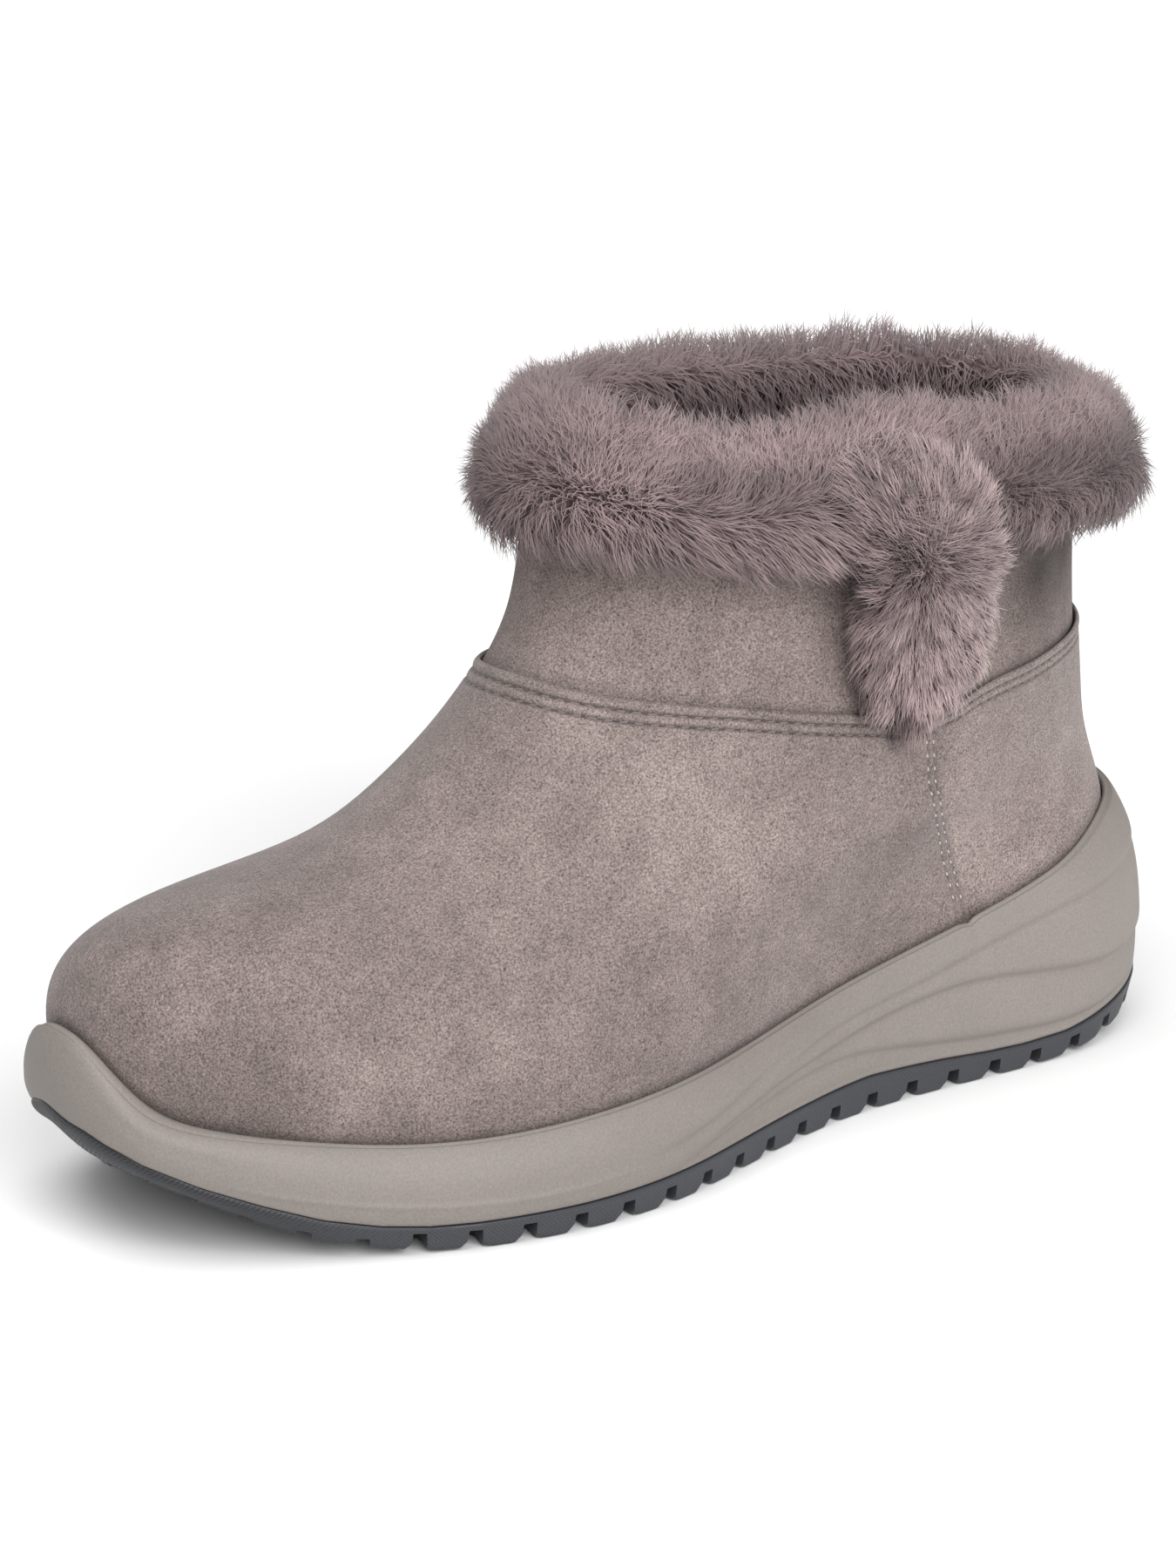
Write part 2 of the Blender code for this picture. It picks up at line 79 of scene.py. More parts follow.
GAP_HEIGHT = 4.2           # height of the gaps between the edge lugs
GAP_SHIFT = 2.3            # how far all the gaps lie towards the toe
GAP_REACH = 5.4            # how far the gaps run in under the sole
TREAD_DEPTH = 1.8          # depth of the grooves under the sole
SEAM_BACK = 3.0            # the vamp laps this far back over the quarter
EDGE_ROWS = (2.0, 3.9)     # thread rows under the lower's top edge
SIDE_ROWS = (1.3, 3.3)     # thread rows in front of the side seam's edge
STITCH_PITCH = 3.2
EDGE_ROW_ENDS = 4.5        # how far from its ends a top row starts and stops
WHORL = (101.0, 125.0)     # station and height from which the flap's fur spreads

SOLE_PLAN = (
    # name, station, outer side, inner side
    ("heel end", 0, 43.0, 42.0),
    ("heel", 45, 44.4, 43.0),
    ("waist", 108, 39.7, 37.0),
    ("outer ball", 175, 51.7, 48.5),
    ("inner ball", 205, 50.4, 51.5),
    ("toes", 245, 43.6, 48.5),
    ("toe end", 275, 40.0, 46.0),
)
OUTER_BALL = SOLE_PLAN[3][2]
INNER_BALL = SOLE_PLAN[4][3]
GROUND_LINE = (  # station, height: heel bevel, flat tread, toe spring
    (0, 8.0), (12, 5.5), (25, 3.2), (42, 0.8), (55, 0.0),
    (208, 0.0), (222, 0.8), (240, 4.8), (248, 8.0), (256, 12.0),
    (263, 16.0), (269, 19.4), (275, 24.0),
)
OUTSOLE_TOP = (  # station, height of the rubber's upper edge
    (0, 13.0), (20, 10.4), (34, 8.2), (46, 6.3), (58, 5.9), (68, 6.2), (81, 7.1), (101, 8.1),
    (120, 7.4), (150, 6.8), (190, 5.8), (212, 5.6), (221, 5.9), (230, 7.0),
    (240, 9.3), (250, 13.1), (260, 17.5), (268, 22.0), (272, 25.4), (275, 29.6),
)
RIM_LINE = (  # angle, height of the foam's rim
    (0, 53.0), (20, 52.3), (34, 50.3), (46, 44.9), (60, 37.4), (74, 30.8),
    (88, 26.0), (105, 23.7), (126, 22.3), (142, 25.4), (150, 27.6),
    (157, 29.6), (161, 31.2), (164, 33.3), (167, 36.7), (170, 40.6),
    (173, 43.9), (180, 46.9),
)
NOSE_LEAN = 2.5            # how far, in degrees, the nose's top lies to the inner side
LEAN_FROM = (163, 22)      # angle and width over which the lean starts
LEAN_UNTIL = (262, 60)     # and over which it is gone again
TOE_LIFT = 3.2             # how much higher the sole's edges lie at the inner toe
LIFT_ALONG = (246, 18)     # station and length over which that lift grows
LIFT_ACROSS = (-3, 16)     # the same sideways from the nose
FOOTBED = (  # station, height of the foam the insole lies on
    (0, 26.0), (50, 25.5), (110, 19.5), (185, 12.5), (225, 13.2),
    (248, 18.5), (264, 25.0),
)
SEAM_LINE = (  # angle, height of the lower's top edge; dips to a point at 84
    (0, 93.0), (28, 92.2), (47, 91.6), (63, 91.0), (75, 89.8), (84, 87.2),
    (94, 89.4), (105, 92.1), (117, 95.0), (130, 97.4), (141, 99.0),
    (152, 100.4), (164, 101.8), (180, 102.6),
)
SIDE_SEAM = (  # height, station of the seam between vamp and quarter
    (20, 72.0), (36, 74.2), (48, 77.8), (56, 81.4), (64, 85.8),
    (73, 89.4), (84, 90.6), (100, 91.0),
)
UPPER = (
    # name,      back u, back z, front u, front z, sag, outer, inner, widest, foot
    ("bed",        11.0,  26.0, 263.5,  25.0,  0.0, 43.0, 43.5, 0.66, 1.00),
    ("feather",     8.0,  37.0, 269.2,  37.5,  1.0, 45.0, 46.0, 0.66, 1.00),
    ("toe wall",    6.6,  47.0, 271.0,  49.5,  4.0, 46.5, 47.0, 0.64, 0.90),
    ("toe box",     7.0,  57.0, 267.0,  60.5, 10.0, 46.0, 46.5, 0.60, 0.65),
    ("toe cap",     8.8,  67.0, 250.0,  68.0, 13.0, 45.0, 46.0, 0.55, 0.35),
    ("vamp low",   10.0,  77.0, 219.5,  72.2, 12.0, 44.0, 44.0, 0.50, 0.12),
    ("vamp",       11.2,  87.0, 196.0,  81.8,  9.0, 43.0, 43.0, 0.48, 0.03),
    ("instep",     12.5,  97.0, 176.5,  95.0,  5.0, 42.5, 42.5, 0.49, 0.00),
    ("throat",     13.6, 108.0, 165.0, 107.0,  2.0, 42.5, 42.5, 0.50, 0.00),
    ("shaft",      14.0, 120.0, 160.0, 120.0,  0.0, 43.0, 43.0, 0.50, 0.00),
    ("top",        13.0, 145.0, 155.0, 145.0,  0.0, 44.0, 44.0, 0.50, 0.00),
)
COLLAR = (
    # angle, height of the roll's middle, half height, half thickness, outward
    (0, 131.5, 17.0, 12.5, 1.2),
    (60, 134.8, 17.0, 12.0, 0.8),
    (120, 140.5, 17.0, 12.0, 0.0),
    (180, 142.5, 17.0, 12.0, -1.0),
)
COLLAR_LEAN = 5.0
ROLL_SHAPE = (
    # angle, how much higher the crest is, how much further out the roll stands
    (0, 0.8, 0.0), (16, 0.0, 0.0), (50, 0.0, 0.0), (76, 0.5, -0.8), (88, 1.2, -1.0),
    (97, 3.0, 2.4), (108, 3.0, 3.2), (119, 0.0, 2.8), (132, -2.9, 1.8),
    (146, -2.0, 0.8), (162, 0.6, 0.2), (178, 1.0, 0.0), (200, 0.2, 0.0),
    (270, 0.2, 0.0), (292, 1.2, 0.0), (312, 2.6, 0.0), (334, 3.2, 0.0),
    (348, 2.8, 0.0), (360, 0.8, 0.0),
)
FLAP = (
    # height, middle station, half width, thickness, stand-off from the suede
    (84.5, 98.0, 5.0, 4.5, 0.35),
    (88.0, 96.5, 9.0, 8.0, 0.35),
    (92.0, 97.0, 13.2, 10.0, 0.35),
    (99.0, 97.0, 16.7, 11.5, 0.35),
    (108.0, 95.8, 18.3, 12.5, 0.35),
    (115.0, 97.2, 17.6, 14.0, 0.6),
    (118.3, 98.2, 17.2, 13.0, 4.0),
    (121.0, 99.0, 17.2, 10.0, 8.6),
    (125.0, 100.5, 17.2, 8.4, 11.2),
    (130.0, 102.0, 16.8, 8.2, 12.0),
    (137.0, 104.0, 18.0, 8.2, 10.6),
    (143.0, 107.0, 17.2, 8.2, 8.0),
    (148.0, 108.5, 15.8, 8.2, 4.4),
    (152.5, 109.0, 13.5, 8.2, 0.8),
)
# steps in the foam's sides: proud above the line, sunk below it
FLOW_LINES = (
    # name, height of the step, (station, height) ...
    ("upper sweep", 0.75, ((176, 12.7), (160, 15.3), (140, 19.8), (119, 23.9),
                           (105, 26.9), (92, 29.8))),
    ("long sweep", 0.95, ((138, 17.2), (110, 23.0), (92, 25.9), (72, 30.4),
                          (54, 34.6), (34, 38.3), (18, 41.0), (4, 43.5))),
    ("heel swell", 0.95, ((164, 10.4), (140, 15.1), (119, 17.8), (100, 20.9),
                          (84, 23.3), (72, 24.0), (55, 22.7), (38, 21.5),
                          (22, 22.2), (6, 25.5))),
    ("heel foot", 0.80, ((168, 8.0), (145, 12.1), (129, 13.9), (111, 15.0),
                         (100, 14.2), (84, 12.1), (60, 10.1), (45, 9.8),
                         (33, 10.9), (20, 13.4))),
)
PARTING_BEAD = ((262, 20.5), (254, 17.5), (244, 14.7), (232, 12.3), (220, 10.9),
                (200, 10.2), (182, 11.2), (170, 12.2))
# soft creases and swells of the suede
CREASES = (
    # name, station, sideways (outer -), height, half along, half across, half up, turn, depth
    ("toe break, outer", 205, -26, 52, 24, 16, 5, -28, -0.7),
    ("toe break swell", 216, -30, 46, 22, 16, 6, -28, 0.4),
    ("vamp hollow", 152, -34, 62, 26, 20, 8, -40, -0.9),
    ("vamp swell", 132, -38, 68, 20, 20, 8, -40, 0.6),
    ("ankle hollow", 104, -42, 66, 9, 20, 15, 12, -0.9),
    ("ankle swell", 116, -42, 78, 9, 20, 12, 10, 0.5),
    ("seam swell", 94, -42, 52, 8, 20, 12, 0, 0.4),
    ("instep fold", 176, -8, 86, 14, 24, 5, -30, -0.6),
    ("heel swell", 40, -38, 72, 20, 20, 12, 0, 0.5),
    ("heel hollow", 62, -42, 58, 10, 20, 16, 15, -0.6),
    ("inner break", 205, 30, 52, 24, 16, 5, -28, -0.7),
    ("inner hollow", 150, 36, 62, 26, 20, 9, -40, -0.9),
    ("inner ankle", 104, 42, 66, 10, 20, 15, 12, -0.8),
    ("inner heel", 50, 40, 70, 18, 20, 14, 0, 0.5),
)
BAND_FOLDS = (
    ("front swell", 160, -12, 112, 8, 16, 14, 6, 0.5),
    ("outer hollow", 142, -34, 112, 7, 20, 15, -12, -0.9),
    ("outer swell", 126, -40, 108, 8, 20, 15, 8, 0.6),
    ("flap side fold", 114, -42, 100, 4, 20, 12, -6, -0.6),
    ("rear fold", 62, -40, 102, 5, 20, 12, 18, -0.8),
    ("rear swell", 50, -38, 104, 7, 20, 12, 10, 0.5),
    ("inner hollow", 140, 36, 110, 8, 20, 15, 12, -0.8),
    ("inner swell", 110, 42, 106, 10, 20, 15, -5, 0.5),
    ("inner fold", 70, 42, 104, 6, 20, 12, 10, -0.6),
)


# ---------------------------------------------------------------- curves
def natural_spline(points):
    """Smooth curve through (x, y) pairs, straight beyond both ends."""
    xs = np.array([p[0] for p in points], float)
    ys = np.array([p[1] for p in points], float)
    count = len(xs)
    h = np.diff(xs)
    a = np.eye(count)
    b = np.zeros(count)
    for i in range(1, count - 1):
        a[i, i - 1:i + 2] = h[i - 1], 2 * (h[i - 1] + h[i]), h[i]
        b[i] = 6 * ((ys[i + 1] - ys[i]) / h[i] - (ys[i] - ys[i - 1]) / h[i - 1])
    m = np.linalg.solve(a, b)

    def at(x):
        x = np.asarray(x, float)
        k = np.clip(np.searchsorted(xs, x) - 1, 0, count - 2)
        d0 = x - xs[k]
        d1 = xs[k + 1] - x
        curve = (m[k] * d1 ** 3 + m[k + 1] * d0 ** 3) / (6 * h[k])
        curve = curve + (ys[k] / h[k] - m[k] * h[k] / 6) * d1
        curve = curve + (ys[k + 1] / h[k] - m[k + 1] * h[k] / 6) * d0
        first = (ys[1] - ys[0]) / h[0] - h[0] * (2 * m[0] + m[1]) / 6
        last = (ys[-1] - ys[-2]) / h[-1] + h[-1] * (m[-2] + 2 * m[-1]) / 6
        curve = np.where(x < xs[0], ys[0] + first * (x - xs[0]), curve)
        return np.where(x > xs[-1], ys[-1] + last * (x - xs[-1]), curve)
    return at


def round_about(points):
    """Spline over an angle, the same on the outer and the inner side."""
    before = [(-p[0], p[1]) for p in points[2:0:-1]]
    after = [(360 - p[0], p[1]) for p in points[-2:-4:-1]]
    curve = natural_spline(before + list(points) + after)

    def at(theta):
        a = np.degrees(theta) % 360
        return curve(np.where(a > 180, 360 - a, a))
    return at


def unit(vectors):
    """The same directions with length 1."""
    return vectors / np.maximum(np.linalg.norm(vectors, axis=-1, keepdims=True), 1e-9)


def smoothstep(t):
    t = np.clip(t, 0, 1)
    return t * t * (3 - 2 * t)


def grows(value, start, width):
    """0 up to the start, then softly up to 1 over the width."""
    return smoothstep((value - start) / width)


def fades(value, end, width):
    """1 until a width before the end, then softly down to 0 at the end."""
    return smoothstep((end - value) / width)


def bell(distance, width):
    """1 at no distance, dying away over the width."""
    return np.exp(-(distance / width) ** 2)


def straight(points):
    xs, ys = np.transpose(points)
    return lambda x: np.interp(x, xs, ys)


def run_along(points):
    """Length from the first point to each point of a line."""
    steps = np.linalg.norm(np.diff(points, axis=0), axis=1)
    return np.concatenate([[0], np.cumsum(steps)])


outer_half = natural_spline([(r[1], r[2]) for r in SOLE_PLAN])
inner_half = natural_spline([(r[1], r[3]) for r in SOLE_PLAN])
footbed = natural_spline(FOOTBED)
ground = straight(GROUND_LINE)
outsole_top = straight(OUTSOLE_TOP)
side_seam = straight(SIDE_SEAM)
rim_line = round_about(RIM_LINE)
seam_height = round_about(SEAM_LINE)
collar_middle = round_about([(r[0], r[1]) for r in COLLAR])
collar_half_height = round_about([(r[0], r[2]) for r in COLLAR])
collar_half_thick = round_about([(r[0], r[3]) for r in COLLAR])
collar_shift = round_about([(r[0], r[4]) for r in COLLAR])
RING = [natural_spline([(i, row[c]) for i, row in enumerate(UPPER)])
        for c in range(1, 10)]


def rim_height(theta):
    """Height of the foam's rim; the nose's top lies a little to the inner side."""
    degrees = np.degrees(theta) % 360
    lean = NOSE_LEAN * grows(degrees, *LEAN_FROM) * fades(degrees, *LEAN_UNTIL)
    return rim_line(theta - np.radians(lean))


def end_rounding(t, back, front, power, toe_power):
    """1 along the middle, down to 0 at both ends."""
    tb = np.clip((back - t) / back, 0, 1)
    tf = np.clip((t - (1 - front)) / front, 0, 1)
    heel = np.maximum(1 - tb ** power, 0) ** (1 / power)
    toe = np.maximum(1 - tf ** toe_power, 0) ** (1 / toe_power)
    return heel * toe


# ---------------------------------------------------------------- surfaces
def sole_outline(theta, inset=0.0):
    """Points (x, y) of the sole's edge, moved in by inset."""
    def raw(angle):
        t = (1 - np.cos(angle)) / 2
        u = t * SOLE_LENGTH
        r = end_rounding(t, HEEL_ROUND / SOLE_LENGTH, TOE_ROUND / SOLE_LENGTH, *END_POWERS)
        y = np.where(np.sin(angle) >= 0, -outer_half(u), inner_half(u)) * r
        y = y + TOE_IN * grows(t, TOE_BEND, 1 - TOE_BEND)
        return np.stack([HEEL_X - u, y + SIDE_SHIFT], -1)
    step = 0.004
    along = raw(theta + step) - raw(theta - step)
    out = unit(np.stack([along[:, 1], -along[:, 0]], -1))
    middle = np.array([HEEL_X - SOLE_LENGTH / 2, SIDE_SHIFT])
    here = raw(theta)
    if ((here - middle) * out).sum() < 0:
        out = -out
    return here - out * np.broadcast_to(inset, len(theta))[:, None]


def upper_surface(level, theta):
    """Points of the upper's outside; level counts the rows of UPPER."""
    back_u, back_z, front_u, front_z, sag, outer, inner, widest, foot = [
        curve(level) for curve in RING]
    t = (1 - np.cos(theta)) / 2
    u = back_u + t * (front_u - back_u)
    tb = np.clip((widest - t) / widest, 0, 1)
    tf = np.clip((t - widest) / (1 - widest), 0, 1)
    egg = np.sqrt(np.maximum(1 - tb ** 2, 0)) * np.sqrt(np.maximum(1 - tf ** 2, 0))
    footprint = end_rounding(t, *FOOT_ENDS, *FOOT_POWERS)
    sole_u = t * SOLE_LENGTH
    outside = foot * outer_half(sole_u) / OUTER_BALL * footprint + (1 - foot) * egg
    inside = foot * inner_half(sole_u) / INNER_BALL * footprint + (1 - foot) * egg
    y = np.where(np.sin(theta) >= 0, -outer * outside, inner * inside)
    swing = grows(u / SOLE_LENGTH, TOE_BEND, 1 - TOE_BEND)
    y = y + (LEAST_SWING + (1 - LEAST_SWING) * foot) * TOE_IN * swing
    chord = footbed(back_u) + t * (footbed(front_u) - footbed(back_u))
    z = back_z + t * (front_z - back_z) - sag * 4 * t * (1 - t)
    z = z + foot * (footbed(u) - chord)
    return np.stack([HEEL_X - u, y + SIDE_SHIFT, z], -1)


def upper_normal(level, theta):
    d = 0.01
    up = upper_surface(level + d, theta) - upper_surface(level - d, theta)
    along = upper_surface(level, theta + d) - upper_surface(level, theta - d)
    n = unit(np.cross(along, up))
    away = np.stack([np.cos(theta), -np.sin(theta)], -1)
    flip = (n[..., :2] * away).sum(-1) < 0
    return np.where(flip[..., None], -n, n)


def upper_at(level, theta, offset):
    return upper_surface(level, theta) + upper_normal(level, theta) * np.asarray(offset)[..., None]


def flat_offset(level, theta, offset):
    """Upper's outside moved out level, whatever its slope."""
    normal = upper_normal(level, theta)
    normal[..., 2] = 0
    return upper_surface(level, theta) + unit(normal) * np.asarray(offset)[..., None]


LEVEL_STEPS = 22           # halvings when a level is looked for, and an angle
ANGLE_STEPS = 18
OUTER_ANGLES = (0.6, 2.4)  # the outer side lies between these, in radians
PANEL_ANGLES = (0.6, 2.2)  # and the seam between these


def halved(low, high, shape, steps, short_of):
    """Values between two limits, found by halving; short_of says where a try
    is still too low."""
    low, high = np.full(shape, low), np.full(shape, high)
    for _ in range(steps):
        middle = (low + high) / 2
        short = short_of(middle)
        low = np.where(short, middle, low)
        high = np.where(short, high, middle)
    return (low + high) / 2


def level_at(theta, height):
    """Level at which the upper's outside reaches a height, angle by angle."""
    theta, height = np.broadcast_arrays(theta, height)
    return halved(-0.2, len(UPPER) - 0.2, theta.shape, LEVEL_STEPS,
                  lambda level: upper_surface(level, theta)[..., 2] < height)


def outer_angle(u, height):
    """Angles at which the outer side passes the stations u at these heights."""
    u, height = np.broadcast_arrays(np.asarray(u, float), height)

    def before(theta):
        point = upper_surface(level_at(theta, height), theta)
        return HEEL_X - point[..., 0] < u
    return halved(*OUTER_ANGLES, u.shape, ANGLE_STEPS, before)


def even_angles(count):
    """Angles evenly spaced along the sole's edge, mirrored about the heel."""
    fine = np.linspace(0, math.pi, 3001)
    run = run_along(sole_outline(fine))
    half = np.interp(np.linspace(0, run[-1], count // 2 + 1), run, fine)
    return np.concatenate([half, 2 * math.pi - half[-2:0:-1]])


def lumps(points, size, seed=0.0):
    """Smooth noise from -1 to 1 at points in mm, with lumps of one size."""
    flat = np.asarray(points).reshape(-1, 3) / size + seed
    found = np.fromiter((noise.noise(Vector(p)) for p in flat), float, len(flat))
    return found.reshape(np.shape(points)[:-1])


def soft_shapes(table, points):
    """Sum of the listed swells and hollows, in mm along the normal."""
    total = np.zeros(points.shape[:-1])
    for _name, station, sideways, height, along, across, up, turn, depth in table:
        x = HEEL_X - points[..., 0] - station
        y = (points[..., 1] - SIDE_SHIFT - sideways) / across
        z = points[..., 2] - height
        c = math.cos(math.radians(turn))
        s = math.sin(math.radians(turn))
        a = (x * c + z * s) / along
        b = (z * c - x * s) / up
        total = total + depth * np.exp(-a * a - b * b - y * y)
    return total


# ---------------------------------------------------------------- meshes
def deselect():
    bpy.ops.object.select_all(action="DESELECT")


def activate(piece):
    deselect()
    piece.select_set(True)
    bpy.context.view_layer.objects.active = piece


def tidy_shell(piece):
    """Joins the seams of a shell and turns its faces outwards."""
    activate(piece)
    bpy.ops.object.mode_set(mode="EDIT")
    bpy.ops.mesh.select_all(action="SELECT")
    bpy.ops.mesh.remove_doubles(threshold=2e-6)
    bpy.ops.mesh.normals_make_consistent(inside=False)
    bpy.ops.object.mode_set(mode="OBJECT")
    bpy.ops.object.shade_smooth()


def keep_values(piece, **values):
    """Writes one number per vertex under each name, for the materials."""
    for name, numbers in values.items():
        layer = piece.data.attributes.new(name, "FLOAT", "POINT")
        layer.data.foreach_set("value", np.asarray(numbers, np.float32).ravel())


def grid_piece(name, points, rows_meet=False, columns_meet=False, **values):
    """A primitive grid laid over points[row][column], in mm."""
    def closed(a):
        if columns_meet:
            a = np.concatenate([a, a[:, :1]], 1)
        if rows_meet:
            a = np.concatenate([a, a[:1]], 0)
        return a
    points = closed(np.asarray(points, float))
    rows, columns = points.shape[:2]
    deselect()
    bpy.ops.mesh.primitive_grid_add(x_subdivisions=columns - 1, y_subdivisions=rows - 1, size=1)
    piece = bpy.context.object
    piece.name = piece.data.name = name
    piece.data.vertices.foreach_set("co", (points * MM).astype(np.float32).ravel())
    piece.data.update()
    keep_values(piece, **{key: closed(np.broadcast_to(v, points.shape[:2]) if np.ndim(v) == 0 else v)
                          for key, v in values.items()})
    tidy_shell(piece)
    return piece


def finish_with(piece, kind, **settings):
    """Adds a modifier, sets it and applies it."""
    activate(piece)
    modifier = piece.modifiers.new(kind.title(), kind)
    for key, value in settings.items():
        setattr(modifier, key, value)
    bpy.ops.object.modifier_apply(modifier=modifier.name)


def toe_lift(line):
    """How much higher the sole's edges lie at the inner side of the toe's end."""
    end = sole_outline(np.array([math.pi]))[0, 1]
    station = HEEL_X - line[:, 0]
    return TOE_LIFT * grows(station, *LIFT_ALONG) * grows(line[:, 1] - end, *LIFT_ACROSS)


def tread_height(line):
    """Height of the tread under the points of a line."""
    return ground(HEEL_X - line[:, 0]) + toe_lift(line)


def rubber_height(line):
    """Height of the rubber's upper edge over the points of a line."""
    return outsole_top(HEEL_X - line[:, 0]) + toe_lift(line)


def across_to(loop):
    """The points of a loop on its other side, one for each point."""
    return loop[(-np.arange(len(loop))) % len(loop)]


def closed_to_spine(loop, steps, height):
    """Rings that close a loop by moving each point to the middle line."""
    middle = (loop + across_to(loop)) / 2
    rings = []
    for share in np.linspace(0, 1, steps + 1)[1:]:
        ring = loop + (middle - loop) * share
        ring[:, 2] = height(HEEL_X - ring[:, 0], share)
        rings.append(ring)
    return rings


def place(piece, material, slot, *nodes):
    """Gives a finished piece its material and body, and hides the nodes it shows; the slot is not
    used.
    """
    piece.data.materials.clear()
    piece.data.materials.append(material)
    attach(piece, BODY)
    if nodes:
        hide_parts(*nodes)


# ---------------------------------------------------------------- shader tools
class Socket:
    """A shader value; plain arithmetic on it adds Math nodes."""

    def __init__(self, finish, out):
        self.finish = finish
        self.out = out

    def _math(self, operation, *numbers):
        return self.finish.node("ShaderNodeMath", {"operation": operation},
                                dict(enumerate(numbers)))

    def __add__(self, other):
        return self._math("ADD", self, other)

    def __sub__(self, other):
        return self._math("SUBTRACT", self, other)

    def __rsub__(self, other):
        return self._math("SUBTRACT", other, self)

    def __mul__(self, other):
        return self._math("MULTIPLY", self, other)

    def __truediv__(self, other):
        return self._math("DIVIDE", self, other)

    def __pow__(self, other):
        return self._math("POWER", self, other)

    __radd__ = __add__
    __rmul__ = __mul__

    def waves(self):
        """Even ridges from 0 to 1, one for each half turn of the value."""
        return self._math("ABSOLUTE", self._math("SINE", self))

    def clamp(self):
        return self.finish.node("ShaderNodeClamp", {}, {0: self})


def socket_name(key):
    return key.replace("_", " ").title().replace("Ior", "IOR")


class Finish:
    """A material with one Principled shader; constants go on its sockets."""

    def __init__(self, name, colour, roughness, **constants):
        self.material = bpy.data.materials.new(name)
        self.material.use_nodes = True
        self.material.diffuse_color = (*colour, 1)
        self.tree = self.material.node_tree
        self.shader = self.tree.nodes["Principled BSDF"]
        self.shader.inputs["Base Color"].default_value = (*colour, 1)
        self.shader.inputs["Roughness"].default_value = roughness
        for key, value in constants.items():
            self.shader.inputs[socket_name(key)].default_value = value
        self.place = self.node("ShaderNodeTexCoord", {}, {}, "Object")

    def put(self, socket, value):
        if isinstance(value, Socket):
            self.tree.links.new(value.out, socket)
        else:
            socket.default_value = value

    def node(self, kind, settings=None, sockets=None, output=0):
        node = self.tree.nodes.new(kind)
        for key, value in (settings or {}).items():
            if key == "stops":
                while len(node.color_ramp.elements) < len(value):
                    node.color_ramp.elements.new(0.5)
                for element, (position, colour) in zip(node.color_ramp.elements, value):
                    element.position = position
                    element.color = (*colour, 1)
            else:
                setattr(node, key, value)
        for key, value in (sockets or {}).items():
            self.put(node.inputs[key], value)
        return Socket(self, node.outputs[output])

    def value(self, name):
        return self.node("ShaderNodeAttribute", {"attribute_name": name}, {}, "Fac")

    def noise(self, size, detail, rough):
        """Noise with lumps of one size in mm, about 0.5 in the middle."""
        return self.node("ShaderNodeTexNoise", {}, {
            "Vector": self.place, "Scale": 1 / (size * MM),
            "Detail": detail, "Roughness": rough})

    def ramp(self, value, *stops):
        return self.node("ShaderNodeValToRGB", {"stops": stops}, {0: value})

    def mix(self, share, first, second):
        def full(colour):
            return colour if isinstance(colour, Socket) else (*colour, 1)
        return self.node("ShaderNodeMix", {"data_type": "RGBA"},
                         {0: share, 6: full(first), 7: full(second)}, 2)

    def shade(self, colour, value):
        """A colour made lighter or darker by a factor."""
        return self.node("ShaderNodeVectorMath", {"operation": "SCALE"},
                         {0: colour, 3: value})

    def spot(self, centre, radius):
        """1 at a place in mm, falling to 0 at the radius."""
        away = self.node("ShaderNodeVectorMath", {"operation": "DISTANCE"},
                         {0: self.place, 1: tuple(c * MM for c in centre)}, "Value")
        return (1 - away / (radius * MM)).clamp()

    def bump(self, height, depth, strength=1.0, under=None):
        """A bump of one depth in mm over another normal."""
        sockets = {"Strength": strength, "Distance": depth * MM, "Height": height}
        if under:
            sockets["Normal"] = under
        return self.node("ShaderNodeBump", {}, sockets)

    def wear(self, **sockets):
        """Links what varies over the surface to the shader."""
        for key, value in sockets.items():
            self.put(self.shader.inputs[socket_name(key)], value)
        return self.material


# ---------------------------------------------------------------- finishes
SUEDE_TONE = (0.201, 0.162, 0.151)
FOAM_TONE = (0.212, 0.188, 0.172)
RUBBER_TONE = (0.037, 0.039, 0.046)
PLUSH_TONE = (0.25, 0.20, 0.195)
EDGE_THREAD_TONE = (0.165, 0.132, 0.124)
SIDE_THREAD_TONE = (0.48, 0.45, 0.425)
FUR_SKIN_TONE = (0.145, 0.107, 0.108)
# fur tones at the root, the middle and the tip
ROLL_TONES = ((0.178, 0.131, 0.133), (0.222, 0.163, 0.165), (0.366, 0.284, 0.280))
FLAP_TONES = ((0.098, 0.071, 0.073), (0.222, 0.163, 0.165), (0.43, 0.335, 0.33))
FLAP_LIGHT = 1.16          # the flap's fur is paler than the roll's
QUARTER_PAINTED_LIGHT = 1.26       # tone of the quarter and the shaft against the vamp: the same suede made paler, painted light
BAND_LIGHT = 1.05
NAP_SHINE = 0.22           # soft shine of brushed suede
BAND_SHINE = 0.08
TWILL_PITCH = 0.95         # fine relief of the rubber's sides
RIDGE_PITCH = 1.5          # slanting ridges round the nose
RIDGE_SLANT = 1.4
VAMP_NAP_AND_PAINTED_LIGHT_SPOTS = (
    # paler brushed patches of the nap on the vamp; painted shade over the toe's end; then paler
    # high, darker low and paler by the seam: middle, radius, gain
    ((-118, -4, 52), 11, 0.48),
    ((-96, -27, 36), 12, 0.38),
    ((-84, -34, 34), 9, 0.25),
    # painted shade: the toe's end faces away from the light
    ((-110, -8, 44), 48, -0.16),
    ((-12, -34, 86), 34, 0.32),
    ((-44, -42, 34), 26, -0.12),
    ((8, -44, 70), 22, 0.10),
)
BAND_SPOTS = (
    # the shaded suede behind the flap
    ((86, -35, 110), 22, -0.84),
    ((98, -25, 112), 25, -0.72),
    ((70, -40, 108), 16, -0.25),
    ((20, -42, 118), 30, -0.10),
    ((48, -42, 104), 16, -0.10),
    ((-12, -36, 112), 20, 0.10),
)


